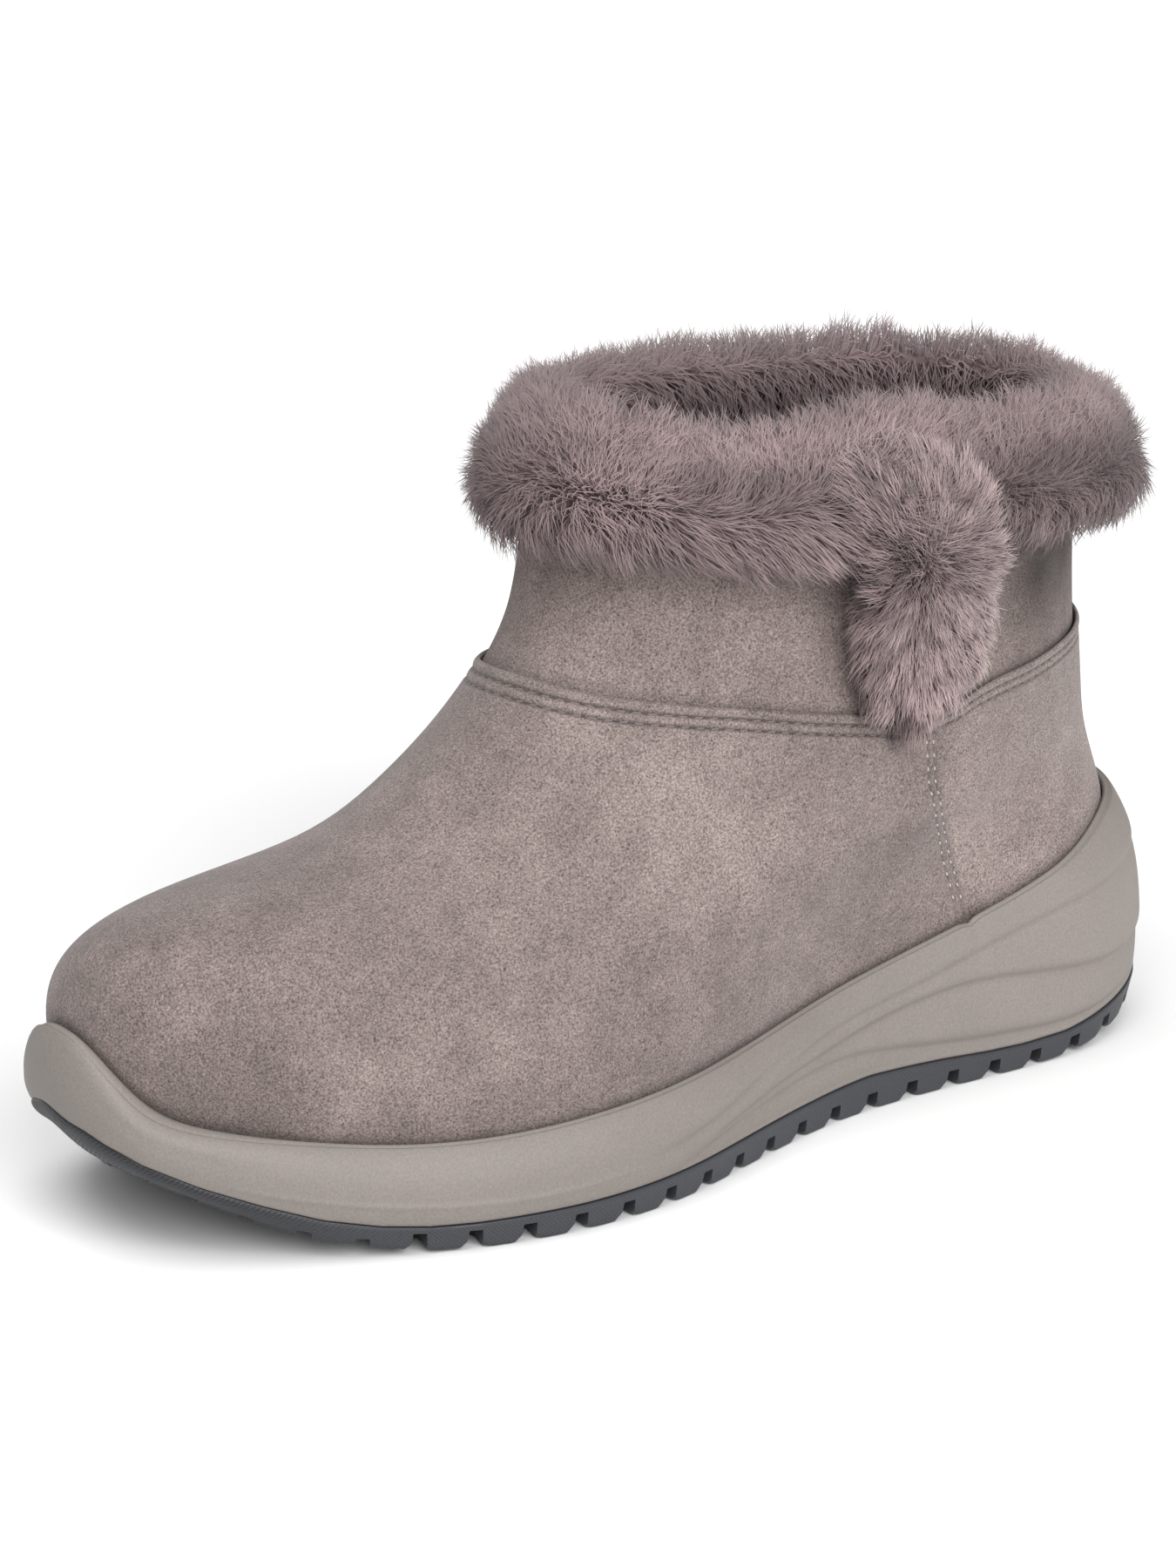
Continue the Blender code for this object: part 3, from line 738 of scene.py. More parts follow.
def toned(tone, share):
    """A tone made darker or lighter by a share."""
    return tuple(c * share for c in tone)


def suede(name, light=1.0, spots=(), shine=NAP_SHINE):
    """Napped suede: cloudy tone, fine speckle, the caller's spots, a darker cut edge, painted shade
    at the foot above the foam's rim, and darker needle rows with painted shade in their grooves.
    """
    tone = SUEDE_TONE
    f = Finish(name, tone, 0.92, sheen_weight=shine, sheen_roughness=0.45,
               specular_ior_level=0.2)
    clouds = f.noise(34, 3, 0.55)
    patches = f.noise(8, 3, 0.6)
    flecks = f.noise(2.2, 2, 0.6)
    nap = f.noise(0.44, 2, 0.7)
    colour = f.ramp((clouds - 0.5) * 1.6 + (patches - 0.5) * 1.3 + 0.5,
                    (0.15, toned(tone, 0.84 * light)),
                    (0.5, toned(tone, light)),
                    (0.85, toned(tone, 1.15 * light)))
    # the caller's spots make the suede paler or darker: brushed patches of the nap, painted shade
    # and painted light
    for centre, radius, gain in spots:
        colour = f.shade(colour, 1 + f.spot(centre, radius) ** 1.5 * gain)
    colour = f.shade(colour, 1 + (nap - 0.5) * 3.1 + (flecks - 0.5) * 0.35)
    # the raw cut edge is darker; at the foot, above the foam's rim, lies painted shade
    edge = (1 - f.value("drop") / 0.5).clamp()
    foot = (1 - f.value("rise") / 3.0).clamp() ** 1.5
    colour = f.shade(colour, 1 - edge * 0.3 - foot * 0.28)
    # a dark line along each thread row: painted shade in its sunk groove, with the needle holes
    colour = f.mix(f.value("hole").clamp() * 0.85, colour, toned(tone, 0.14))
    lumps_normal = f.bump(f.noise(5, 2, 0.5), 0.5, 0.5)
    normal = f.bump(nap, 0.3, 0.9, lumps_normal)
    return f.wear(base_color=colour, normal=normal)


def foam_finish():
    """Matt moulded foam: fine grain, hardly clouded, with painted light making the heel's side
    paler.
    """
    f = Finish("midsole foam", FOAM_TONE, 0.62, specular_ior_level=0.35)
    clouds = f.noise(18, 2, 0.5)
    grain = f.noise(0.5, 2, 0.6)
    colour = f.ramp(clouds, (0.3, toned(FOAM_TONE, 0.97)), (0.7, toned(FOAM_TONE, 1.03)))
    colour = f.shade(colour, 1 + (grain - 0.5) * 0.55)
    # painted light: the heel's side is paler where the light falls on it
    colour = f.shade(colour, 1 + f.spot((112, -40, 32), 75) * 0.15)
    return f.wear(base_color=colour, roughness=0.58 + (grain - 0.5) * 0.2,
                  normal=f.bump(grain, 0.05, 0.6, f.bump(clouds, 0.4, 0.4)))


def rubber_finish():
    """Dark rubber: a fine twill on the lugs' sides, slanting ridges at the nose, painted shade on
    the nose.
    """
    f = Finish("outsole rubber", RUBBER_TONE, 0.5, specular_ior_level=0.45)
    height = f.node("ShaderNodeSeparateXYZ", {}, {0: f.place}, "Z") * (1 / MM)
    run = f.value("run")
    turn = math.pi / TWILL_PITCH
    twill = ((run + height) * turn).waves() * ((run - height) * turn).waves()
    side, nose = f.value("side"), f.value("nose")
    # fine slanting ridges round the nose take the place of the twill
    ridges = ((run + height * RIDGE_SLANT) * (math.pi / RIDGE_PITCH)).waves()
    twill = twill * (1 - nose) + ridges * nose * 1.6
    clouds = f.noise(6, 3, 0.6)
    colour = f.shade(RUBBER_TONE, 0.82 + twill * side * 0.5 + (clouds - 0.5) * 0.35)
    # painted shade on the nose, which faces down, away from the light
    colour = f.shade(colour, 1 - nose * 0.55)
    relief = twill * side + f.noise(0.7, 2, 0.6) * 0.3
    return f.wear(base_color=colour, roughness=0.45 + (clouds - 0.5) * 0.3 + twill * side * 0.1,
                  normal=f.bump(relief, 0.14, 0.9))


def thread_finish(name, tone):
    """Twisted thread."""
    f = Finish(name, tone, 0.6, sheen_weight=0.2)
    twist = f.noise(0.5, 2, 0.6)
    return f.wear(base_color=f.shade(tone, 0.8 + twist * 0.4),
                  normal=f.bump(twist, 0.08, 0.7))


def plush_finish():
    """Short woolly pile of the lining and the footbed."""
    f = Finish("plush", PLUSH_TONE, 0.95, sheen_weight=0.3, sheen_roughness=0.5)
    tufts = f.noise(2.2, 3, 0.65)
    hairs = f.noise(0.5, 2, 0.7)
    colour = f.ramp(tufts, (0.3, toned(PLUSH_TONE, 0.6)), (0.7, toned(PLUSH_TONE, 1.2)))
    colour = f.shade(colour, 1 + (hairs - 0.5) * 0.5)
    return f.wear(base_color=colour, normal=f.bump(hairs, 0.5, 0.9, f.bump(tufts, 1.2, 0.8)))


def fur_finish(name, tones, light=1.0):
    """Hair: dark at the root, lighter towards the tip, each hair its own tint."""
    root, middle, tip = tones
    f = Finish(name, middle, 0.65, specular_ior_level=0.25, sheen_weight=0.15,
               sheen_roughness=0.5)
    along, tint = f.value("along"), f.value("tint")
    colour = f.ramp(along, (0.0, root), (0.5, middle), (1.0, tip))
    patches = f.noise(9, 2, 0.5)
    colour = f.shade(colour, (0.68 + tint * 0.64) * (0.8 + patches * 0.4) * light)
    return f.wear(base_color=colour)


# ---------------------------------------------------------------- outsole
LUG_LINE = 2.5             # how far in from the edge the lugs are measured out
TREAD_CLOSES = (222, 12)   # station and length over which the gaps get shallow
LAST_GAP = (250, 8)        # station at which the gaps end, and over what length
HEEL_LUGS = (26, 16)       # the same for the lower gaps round the heel
TOE_GAP_LOSS = 0.62        # how much lower the gaps are at the toe and the heel
HEEL_GAP_LOSS = 0.65
SIDE_SPREAD = 1.3          # how far the rubber's foot lies inside its upper edge
NOSE_SPREAD = 6.0          # the same, added under the nose
NOSE_UNDER = (232, 36)
JOINT_GAP = 0.06           # between the rubber's upper edge and the foam
RUBBER_PROUD = 0.25        # how far the rubber stands out past the foam's foot
NOSE_BACK = 0.3            # how much of that is drawn back again at the nose
TOP_EDGE = ((2.6, 0.1), (0.45, 0.0), (0.12, 0.15))  # inset, drop from the top
EDGE_ROUND = 0.5           # height of the rounded edges above and below the side
SIDE_LOOPS = 12
CHANNEL_EDGE = 0.87        # share of the way in at which the middle channel starts
BOTTOM_SHARES = (0.25, 0.5, 0.75, 0.86, 0.9, 1.0)
SHARP_EDGE = 34            # degrees


def outsole_columns():
    """Angles of the columns on one half, with gap and corner values for each."""
    fine = np.linspace(0, math.pi, 4001)
    run = run_along(sole_outline(fine, LUG_LINE))
    count = int(run[-1] / LUG_PITCH)
    pitch = run[-1] / count
    gap = pitch * (1 - LUG_SHARE)
    columns = [(0.0, 0.0, 0.0)]
    for i in range(count):
        middle = (i + 0.5) * pitch + GAP_SHIFT
        before, after = middle - gap / 2, middle + gap / 2
        lug = pitch - gap
        # from the heel: last part of a lug, the gap, first part of the next lug
        for spot, sunk, lift in (
                (before - lug * 0.3, 0, 0.0), (before - 1.5, 0, 0.08), (before - 0.6, 0, 0.45),
                (before - 0.1, 0, 1.15), (before + 0.1, 1, 0.0), (middle, 1, 0.0),
                (after - 0.1, 1, 0.0), (after + 0.1, 0, 1.5), (after + 0.6, 0, 1.0),
                (after + 1.5, 0, 0.08), (after + lug * 0.3, 0, 0.0), (after + lug * 0.5, 0, 0.0)):
            if spot < run[-1] - 0.2 and spot > columns[-1][0] + 0.05:
                columns.append((spot, sunk, lift))
    columns.append((run[-1], 0.0, 0.0))
    table = np.array(columns)
    return np.interp(table[:, 0], run, fine), table[:, 0], table[:, 1], table[:, 2]


def build_outsole(material):
    half, *values = outsole_columns()
    theta = np.concatenate([half, (2 * math.pi - half)[-2:0:-1]])
    run, gap, lift = [np.concatenate([v, v[-2:0:-1]]) for v in values]
    station = HEEL_X - sole_outline(theta, LUG_LINE)[:, 0]
    toe = grows(station, *TREAD_CLOSES)
    nose = nose_share(station)
    heel = fades(station, *HEEL_LUGS)
    deep = GAP_HEIGHT * (1 - TOE_GAP_LOSS * toe) * (1 - HEEL_GAP_LOSS * heel)
    deep = deep * fades(station, *LAST_GAP)
    lift = lift * (1 - toe)
    upper_edge = foot_tuck(station) - RUBBER_PROUD + NOSE_BACK * nose
    spread = SIDE_SPREAD + NOSE_SPREAD * grows(station, *NOSE_UNDER)
    shallow = 1 - 0.6 * toe
    rows, sides = [], []

    def add(inset, height, side=0):
        rows.append(np.column_stack([sole_outline(theta, inset), height]))
        sides.append(np.full(len(theta), side))

    def add_under(inset, in_gap, on_lug):
        """A row of the tread: how high it lies in the gaps and on the lugs."""
        over = np.where(gap > 0, in_gap, on_lug)
        add(inset, tread_height(sole_outline(theta, inset)) + over)
    lower_edge = upper_edge + spread
    top = rubber_height(sole_outline(theta, upper_edge)) + SOLE_GAP - JOINT_GAP
    floor = tread_height(sole_outline(theta, lower_edge))
    for inset, drop in TOP_EDGE:
        add(upper_edge + inset, top - drop)
    # the sides, from under the rounded top edge to the rounded foot
    start, end = top - EDGE_ROUND, floor + EDGE_ROUND
    bottom = floor + np.where(gap > 0, deep, EDGE_ROUND + lift)
    for share in np.linspace(0, 1, SIDE_LOOPS):
        height = start + (bottom - start) * share
        fall = np.clip((start - height) / (start - end), 0, 1)
        add(upper_edge + spread * fall ** (1 + 0.9 * nose), height, 1 if 0 < share < 1 else 0.3)
    add_under(lower_edge + 0.2 + 0.1 * gap, deep, 0.2 + lift * 0.8)
    for reach in (0.75, 2.8, GAP_REACH):
        add_under(lower_edge + reach, deep, lift * 0.7)
    add_under(lower_edge + GAP_REACH + 0.7, (TREAD_DEPTH + 0.2 * lift) * shallow,
              0.2 * lift * shallow)
    # across the bottom to the channel along the middle
    edge = rows[-1]
    spine = []
    for share in BOTTOM_SHARES:
        ring = edge + ((edge + across_to(edge)) / 2 - edge) * share
        channel = TREAD_DEPTH * (share > CHANNEL_EDGE)
        ring[:, 2] = tread_height(ring) + np.maximum(TREAD_DEPTH * gap * shallow, channel)
        ring[[0, len(half) - 1], 2] = edge[[0, len(half) - 1], 2]
        spine.append(ring)
    roof_rings = closed_to_spine(rows[0], 3, lambda u, share: outsole_top(u) + 0.3)
    points = np.array(roof_rings[::-1] + rows + spine)
    bare = [np.zeros(len(theta))]
    side = np.array(bare * len(roof_rings) + sides + bare * len(spine))
    piece = grid_piece("outsole_rubber", points, columns_meet=True,
                       run=np.broadcast_to(run, side.shape), side=side,
                       nose=np.broadcast_to(nose, side.shape))
    activate(piece)
    bpy.ops.object.shade_smooth_by_angle(angle=math.radians(SHARP_EDGE))
    place(piece, material, "rubber", "outsole")


# ---------------------------------------------------------------- midsole
FLOW_RUN_OUT = 6           # how far a step runs on past the ends of its line
FLOW_REACH = 5.0           # how far a step's swell reaches above and below
VALLEY_DEPTH = 0.55        # the groove along a step, as a share of the step
VALLEY_WIDTH = 1.5
BEAD_HEIGHT = 0.22
BEAD_WIDTH = 0.7
NOSE = (214, 46)           # station and length over which the nose is formed
FOOT_TUCK = 1.5            # how far the foam's foot lies under its side
HEEL_TUCK = (34, 26)
TIP = (238, 24)            # station and length over which the rim gets its lip
TIP_OUT = 0.42             # how far the lip at the tip moves out towards the edge
NICK = (0.9, 1.0, 1.3)     # depth, shift and half width of the nick at the seam
TUCK_REACH = (0.3, 0.18)   # share of the side that is tucked in, and more at the nose
TURN_IN = (0.40, 0.26)     # share at which the side turns in, and more at the tip
TURN_POWERS = (2.2, 0.6)   # how softly it turns in at the sides and at the nose
FULLNESS = (0.55, 0.45)    # how full the turn is, and more at the nose
MIDSOLE_COLUMNS = 470
FOAM_SHARES = np.concatenate([[0, 0.012, 0.03], np.linspace(0.05, 0.93, 70),
                              [0.945, 0.96, 0.97, 0.98, 0.99]])
CUP_SHARES = (0.93, 0.75, 0.5, 0.25, 0.0)  # rows down the inside of the cup
RIM_ROUND = (  # share of the way over the rim, drop under its height
    (0.03, 0.75), (0.10, 0.38), (0.22, 0.10), (0.38, -0.06), (0.55, -0.08),
    (0.72, 0.08), (0.86, 0.36), (0.96, 0.8),
)


def flow_relief(station, height):
    """Soft steps of the foam's sweeping lines, in mm outwards."""
    total = np.zeros(np.shape(height))
    for _name, depth, points in FLOW_LINES:
        line = natural_spline(sorted(points))
        first, last = min(points)[0], max(points)[0]
        fade = grows(station, first - FLOW_RUN_OUT, 22) * fades(station, last + FLOW_RUN_OUT, 26)
        away = height - line(station)
        total = total + depth * fade * np.tanh(away) * np.exp(-np.abs(away) / FLOW_REACH)
        total = total - VALLEY_DEPTH * depth * fade * bell(away, VALLEY_WIDTH)
    bead = natural_spline(sorted(PARTING_BEAD))
    first, last = PARTING_BEAD[-1][0], PARTING_BEAD[0][0]
    fade = grows(station, first, 20) * fades(station, last, 16)
    return total + BEAD_HEIGHT * fade * bell(height - bead(station), BEAD_WIDTH)


def nose_share(station):
    """0 along the sole, rising to 1 at the toe's nose."""
    return grows(station, *NOSE)


def foot_tuck(station):
    """How far the foam's lower edge is drawn in under its side."""
    return FOOT_TUCK - 0.3 * nose_share(station) - 0.8 * fades(station, *HEEL_TUCK)


def build_midsole(material):
    theta = even_angles(MIDSOLE_COLUMNS)
    rim = rim_height(theta)
    level = level_at(theta, rim)
    wall = upper_at(level, theta, GAP)
    lip = upper_at(level, theta, GAP + LIP)[:, :2]
    # a small nick in the rim where the side seam runs into it
    depth, shift, width = NICK
    past = HEEL_X - wall[:, 0] - SIDE_SEAM[1][1] + shift
    rim = rim - depth * bell(past, width)
    rows = []
    way = HEEL_X - sole_outline(theta)[:, 0]
    # round the nose the rim stands further out, and the side is fuller
    tip = grows(way, *TIP)
    lip = lip + (sole_outline(theta) - lip) * TIP_OUT * tip[:, None]
    nose = nose_share(way)
    deep, high = foot_tuck(way), TUCK_REACH[0] + TUCK_REACH[1] * nose
    foot = sole_outline(theta, deep + 1.8)
    rows.append(np.column_stack([foot, rubber_height(foot) + SOLE_GAP]))
    for share in FOAM_SHARES:
        tuck = deep * np.maximum(0.0, (high - share) / high) ** 2
        tuck = tuck + 0.35 * max(0.0, 1 - share / 0.03) ** 2
        start = TURN_IN[0] + TURN_IN[1] * tip
        rounding = np.clip((share - start) / (1 - start), 0, 1)
        soft = rounding ** TURN_POWERS[0]
        full = 1 - (1 - soft) ** TURN_POWERS[1]
        closing = soft + (full - soft) * (FULLNESS[0] + FULLNESS[1] * nose)
        line = sole_outline(theta, tuck)
        station = HEEL_X - line[:, 0]
        base = rubber_height(line) + SOLE_GAP
        height = base + (rim - base) * share
        relief = flow_relief(station, height) * fades(share, 0.97, 0.12) * grows(share, 0, 0.06)
        line = sole_outline(theta, tuck - relief)
        line = line + (lip - line) * closing[:, None]
        rows.append(np.column_stack([line, height]))
    inward = wall[:, :2] - lip
    for share, drop in RIM_ROUND:
        rows.append(np.column_stack([lip + inward * share, rim - drop]))
    for share in CUP_SHARES:
        rows.append(upper_at(level * share, theta, GAP))
    inner = closed_to_spine(rows[-1], 5, lambda u, share: footbed(u))
    under = closed_to_spine(rows[0], 3, lambda u, share: outsole_top(u) + SOLE_GAP)
    piece = grid_piece("midsole_cup", under[::-1] + rows + inner, columns_meet=True)
    place(piece, material, "midsole_foam", "midsole")
    return piece


# ---------------------------------------------------------------- suede lower
CUP_ROWS = 3               # grid rows down in the foam's cup
MIDDLE_ROWS = 44           # grid rows up the side
# how far the close rows of the top edge lie under it
TOP_DROPS = np.concatenate([np.arange(7.2, 0.5, -0.3), [0.35, 0.12, 0.0]])


def lower_level(rows, theta):
    """Levels of the lower's rows: in the foam's cup, up the side, then the
    close rows of the top edge."""
    rim = level_at(theta, rim_height(theta))
    foot = level_at(theta, seam_height(theta) - TOP_DROPS[0])
    row = np.broadcast_to(rows, theta.shape)
    share = np.clip((row - CUP_ROWS) / MIDDLE_ROWS, 0, 1)
    step = np.clip(row - CUP_ROWS - MIDDLE_ROWS, 0, len(TOP_DROPS) - 1).astype(int)
    top = level_at(theta, seam_height(theta) - TOP_DROPS[step])
    level = rim + (foot - rim) * share
    level = np.where(row > CUP_ROWS + MIDDLE_ROWS, top, level)
    return np.where(row < CUP_ROWS, rim * row / CUP_ROWS, level)


def side_edge(rows, lap):
    """Angle, on the outer side, of a panel's edge in each row."""
    def before(theta):
        point = upper_surface(lower_level(rows, theta), theta)
        return HEEL_X - point[:, 0] < side_seam(point[:, 2]) + lap
    return halved(*PANEL_ANGLES, len(rows), ANGLE_STEPS, before)


EDGE_SINK = (0.40, 0.33)   # depth and half width of the groove under a top row
SIDE_SINK = (0.22, 0.5)    # the same under a side row
EDGE_HOLES_AND_SHADE = 0.30           # half width of the dark line along a thread row, top and side: needle holes and painted shade in the groove
SIDE_HOLES_AND_SHADE = 0.35
SIDE_HOLES_AND_SHADE_TONE = 0.45      # how dark that line is at the side
QUARTER_TUCK = 1.25        # how deep the quarter dips under the vamp's edge
TUCK_RUN = 4.5             # over what width it rises again
QUARTER_LAP = 1.0          # how far its edge runs on past the seam
EDGE_PUFF = (1.0, 0.6, 0.22)  # drop, half width and height of the padded edge
TOP_ROUND = (0.5, 0.40)    # width and depth of the top edge's rounding
SIDE_ROUND = (0.45, 0.3)   # the same for the side edge
# columns, how many of them lie close at each edge, and the share these take
QUARTER_COLUMNS = (130, 18, 0.05)
VAMP_COLUMNS = (236, 18, 0.018)


def panel_share(count, dense, width):
    """Shares of a row, close together for a width at both ends."""
    edge = np.linspace(0, width, dense + 1)
    return np.concatenate([edge, np.linspace(width, 1 - width, count - 2 * dense)[1:-1],
                           1 - edge[::-1]])


def rounded_edge(distance, width, depth):
    """How far an edge is rounded off, at a distance from it."""
    return depth * np.clip(1 - distance / width, 0, 1) ** 2


def stitch_line(points, pitch, inset):
    """Places at even pitch along a line of points, away from both ends."""
    run = run_along(points)
    count = int((run[-1] - 2 * inset) / pitch)
    at = inset + (np.arange(count) + 0.5) * pitch
    return run, at


def build_panel(name, back, material, slot, node):
    """Vamp or quarter: one curved panel with a worked edge. Returns the rows'
    outside points, their normals and the way run along each, for the stitches."""
    rows = np.arange(CUP_ROWS + MIDDLE_ROWS + len(TOP_DROPS))
    lap = QUARTER_LAP if back else -SEAM_BACK
    edge = side_edge(rows, lap)[:, None]
    if back:
        share = panel_share(*QUARTER_COLUMNS)[None, :]
        theta = -edge + 2 * edge * share
    else:
        share = panel_share(*VAMP_COLUMNS)[None, :]
        theta = edge + (2 * math.pi - 2 * edge) * share
    level = lower_level(rows[:, None], theta)
    skin = upper_surface(level, theta)
    normal = upper_normal(level, theta)
    steps = np.linalg.norm(np.diff(skin, axis=1), axis=2)
    run = np.concatenate([np.zeros((len(rows), 1)), np.cumsum(steps, axis=1)], axis=1)
    side = np.minimum(run, run[:, -1:] - run)
    drop = seam_height(theta) - skin[..., 2]
    rise = skin[..., 2] - rim_height(theta)
    relief = soft_shapes(CREASES, skin) * grows(rise, 0, 12) * grows(drop, 0, 10)
    for row in EDGE_ROWS:
        relief = relief - EDGE_SINK[0] * bell(drop - row, EDGE_SINK[1])
    puff_drop, puff_width, puff = EDGE_PUFF
    relief = relief + puff * bell(drop - puff_drop, puff_width)
    relief = relief - rounded_edge(drop, *TOP_ROUND)
    if back:
        # dips under the vamp's edge
        tucked = SEAM_BACK + QUARTER_LAP - side
        relief = relief - QUARTER_TUCK * np.where(tucked > 0, 1, bell(tucked, TUCK_RUN))
    else:
        for row in SIDE_ROWS:
            relief = relief - SIDE_SINK[0] * bell(side - row, SIDE_SINK[1]) * grows(drop, 0, 4)
        relief = relief - rounded_edge(side, *SIDE_ROUND)
    points = skin + normal * relief[..., None]
    floor = footbed(HEEL_X - points[0, :, 0]) + GAP
    points[0, :, 2] = floor
    # the thread rows are darker: the needle holes, and painted shade in the sunk groove
    hole = np.zeros(theta.shape)
    for row in EDGE_ROWS:
        hole = np.maximum(hole, bell(drop - row, EDGE_HOLES_AND_SHADE))
    if not back:
        for row in SIDE_ROWS:
            faint = SIDE_HOLES_AND_SHADE_TONE * grows(drop, 3, 5)
            hole = np.maximum(hole, bell(side - row, SIDE_HOLES_AND_SHADE) * faint)
    piece = grid_piece(name, points, drop=np.maximum(drop, 0), rise=rise, hole=hole)
    finish_with(piece, "SOLIDIFY", thickness=SUEDE * MM, offset=-1.0)
    place(piece, material, slot, node)
    return points, normal, run


# ---------------------------------------------------------------- thread
EDGE_STITCH = (2.4, 0.46, 0.42)    # length, width and height of one stitch
SIDE_STITCH = (1.05, 0.44, 0.42)
SIDE_PITCH = 3.0
STITCH_SQUARE = 0.75       # below 1 the capsule's ends are fuller
STITCH_ARCH = 0.9          # how far its ends dip, in half heights
STITCH_TURN = (0.10, 0.05)  # its turn in the row, in radians, and how that varies
STITCH_UNEVEN = 0.06       # how its length varies, as a share


def stitch_shape():
    """One stitch lying along X: a short arched capsule of few faces."""
    deselect()
    bpy.ops.mesh.primitive_uv_sphere_add(segments=6, ring_count=5, radius=1,
                                         rotation=(0, math.pi / 2, 0))
    piece = bpy.context.object
    bpy.ops.object.transform_apply(location=False, rotation=True, scale=False)
    mesh = piece.data
    points = np.array([v.co for v in mesh.vertices], float)
    points[:, 0] = np.sign(points[:, 0]) * np.abs(points[:, 0]) ** STITCH_SQUARE
    points[:, 2] -= STITCH_ARCH * points[:, 0] ** 2
    # a new sphere lists its faces in another order each time
    faces = sorted(tuple(p.vertices) for p in mesh.polygons)
    bpy.data.objects.remove(piece)
    return points, faces


def repeated(name, faces, points, **values):
    """One mesh of many copies; points is (copies, vertices, 3) in mm."""
    copies, size = points.shape[:2]
    lengths = np.array([len(f) for f in faces])
    flat = np.array([i for f in faces for i in f])
    loops = (flat[None, :] + (np.arange(copies) * size)[:, None]).ravel()
    starts = np.concatenate([[0], np.cumsum(lengths)[:-1]])
    starts = (starts[None, :] + (np.arange(copies) * len(flat))[:, None]).ravel()
    mesh = bpy.data.meshes.new(name)
    mesh.vertices.add(copies * size)
    mesh.vertices.foreach_set("co", (points * MM).astype(np.float32).ravel())
    mesh.loops.add(len(loops))
    mesh.loops.foreach_set("vertex_index", loops.astype(np.int32))
    mesh.polygons.add(len(starts))
    mesh.polygons.foreach_set("loop_start", starts.astype(np.int32))
    mesh.update(calc_edges=True)
    piece = bpy.data.objects.new(name, mesh)
    bpy.context.scene.collection.objects.link(piece)
    keep_values(piece, **values)
    activate(piece)
    bpy.ops.object.shade_smooth()
    return piece


def sew(name, lines, size, material, rng):
    """Stitches along (points, normals, tangents) lines."""
    shape, faces = stitch_shape()
    centres = np.concatenate([line[0] for line in lines])
    normals = np.concatenate([line[1] for line in lines])
    along = np.concatenate([line[2] for line in lines])
    turn = rng.normal(*STITCH_TURN, len(centres))[:, None]
    across = unit(np.cross(normals, along))
    along = along * np.cos(turn) + across * np.sin(turn)
    across = np.cross(normals, along)
    length = size[0] / 2 * rng.normal(1, STITCH_UNEVEN, len(centres))[:, None, None]
    points = (centres[:, None] + along[:, None] * shape[None, :, :1] * length
              + across[:, None] * shape[None, :, 1:2] * size[1] / 2
              + normals[:, None] * shape[None, :, 2:] * size[2] / 2)
    piece = repeated(name, faces, points)
    place(piece, material, "suede")
    return piece


def read_row(table, run, where):
    """Values of a line's table at places along its run."""
    return np.stack([np.interp(where, run, table[:, c]) for c in range(3)], -1)


def on_line(points, normals, pitch, inset, sink):
    """Evenly spaced places on a line: points, normals and tangents."""
    run, at = stitch_line(points, pitch, inset)

    def read(table, where):
        return read_row(table, run, where)
    normal = unit(read(normals, at))
    along = unit(read(points, at + 0.6) - read(points, at - 0.6))
    return read(points, at) + normal * sink, normal, along


def edge_rows(panel):
    """The two thread rows under a panel's top edge."""
    points, normal, _run = panel
    lines = []
    for row in EDGE_ROWS:
        k = len(points) - len(TOP_DROPS) + int(np.argmin(np.abs(TOP_DROPS - row)))
        lines.append(on_line(points[k], normal[k], STITCH_PITCH, EDGE_ROW_ENDS, 0.02))
    return lines


def side_rows(panel):
    """The two thread rows in front of the vamp's edges, on both sides."""
    points, normal, run = panel
    lines = []
    rows = range(CUP_ROWS + 1, len(run))
    for row in SIDE_ROWS:
        for far in (False, True):
            place_in = run[:, -1] - row if far else np.full(len(run), row)
            line = np.array([read_row(points[r], run[r], place_in[r]) for r in rows])
            up = np.array([read_row(normal[r], run[r], place_in[r]) for r in rows])
            lines.append(on_line(line, up, SIDE_PITCH, 2.6 + 0.4 * row, 0.06))
    return lines


# ---------------------------------------------------------------- shaft, lining, insole
SHAFT_LAP = 1.5            # how far the shaft reaches down behind the lower's edge
SHAFT_HEAD = 2.0           # how far it ends under the middle of the roll
LINING_HEAD = 3.0          # the same for the lining
LINING_GAP = 0.65          # between the suede and the lining
LINING_STEP = 0.95         # how much further in the lining lies in the shaft


def build_shaft(material):
    theta = np.linspace(0, 2 * math.pi, 221)[:-1]
    foot = seam_height(theta) - SHAFT_LAP
    head = collar_middle(theta) - SHAFT_HEAD
    rows = []
    for share in np.linspace(0, 1, 34):
        height = foot + (head - foot) * share
        level = level_at(theta, height)
        skin = upper_surface(level, theta)
        rise = height - seam_height(theta)
        relief = -BAND_STEP + soft_shapes(BAND_FOLDS, skin) * grows(rise, 0.5, 5)
        rows.append(upper_at(level, theta, relief))
    points = np.array(rows)
    # rise counts from the lower's top edge, so the suede's painted shade falls on the band just
    # above it, where it goes under that edge
    rise = points[..., 2] - seam_height(theta)
    # no worked top edge and no needle rows here
    piece = grid_piece("shaft_band", points, columns_meet=True,
                       drop=np.full(rise.shape, 9.0), rise=np.maximum(rise, 0) + 0.6,
                       hole=np.zeros(rise.shape))
    finish_with(piece, "SOLIDIFY", thickness=SUEDE * MM, offset=-1.0)
    place(piece, material, "suede_band", "shaft")


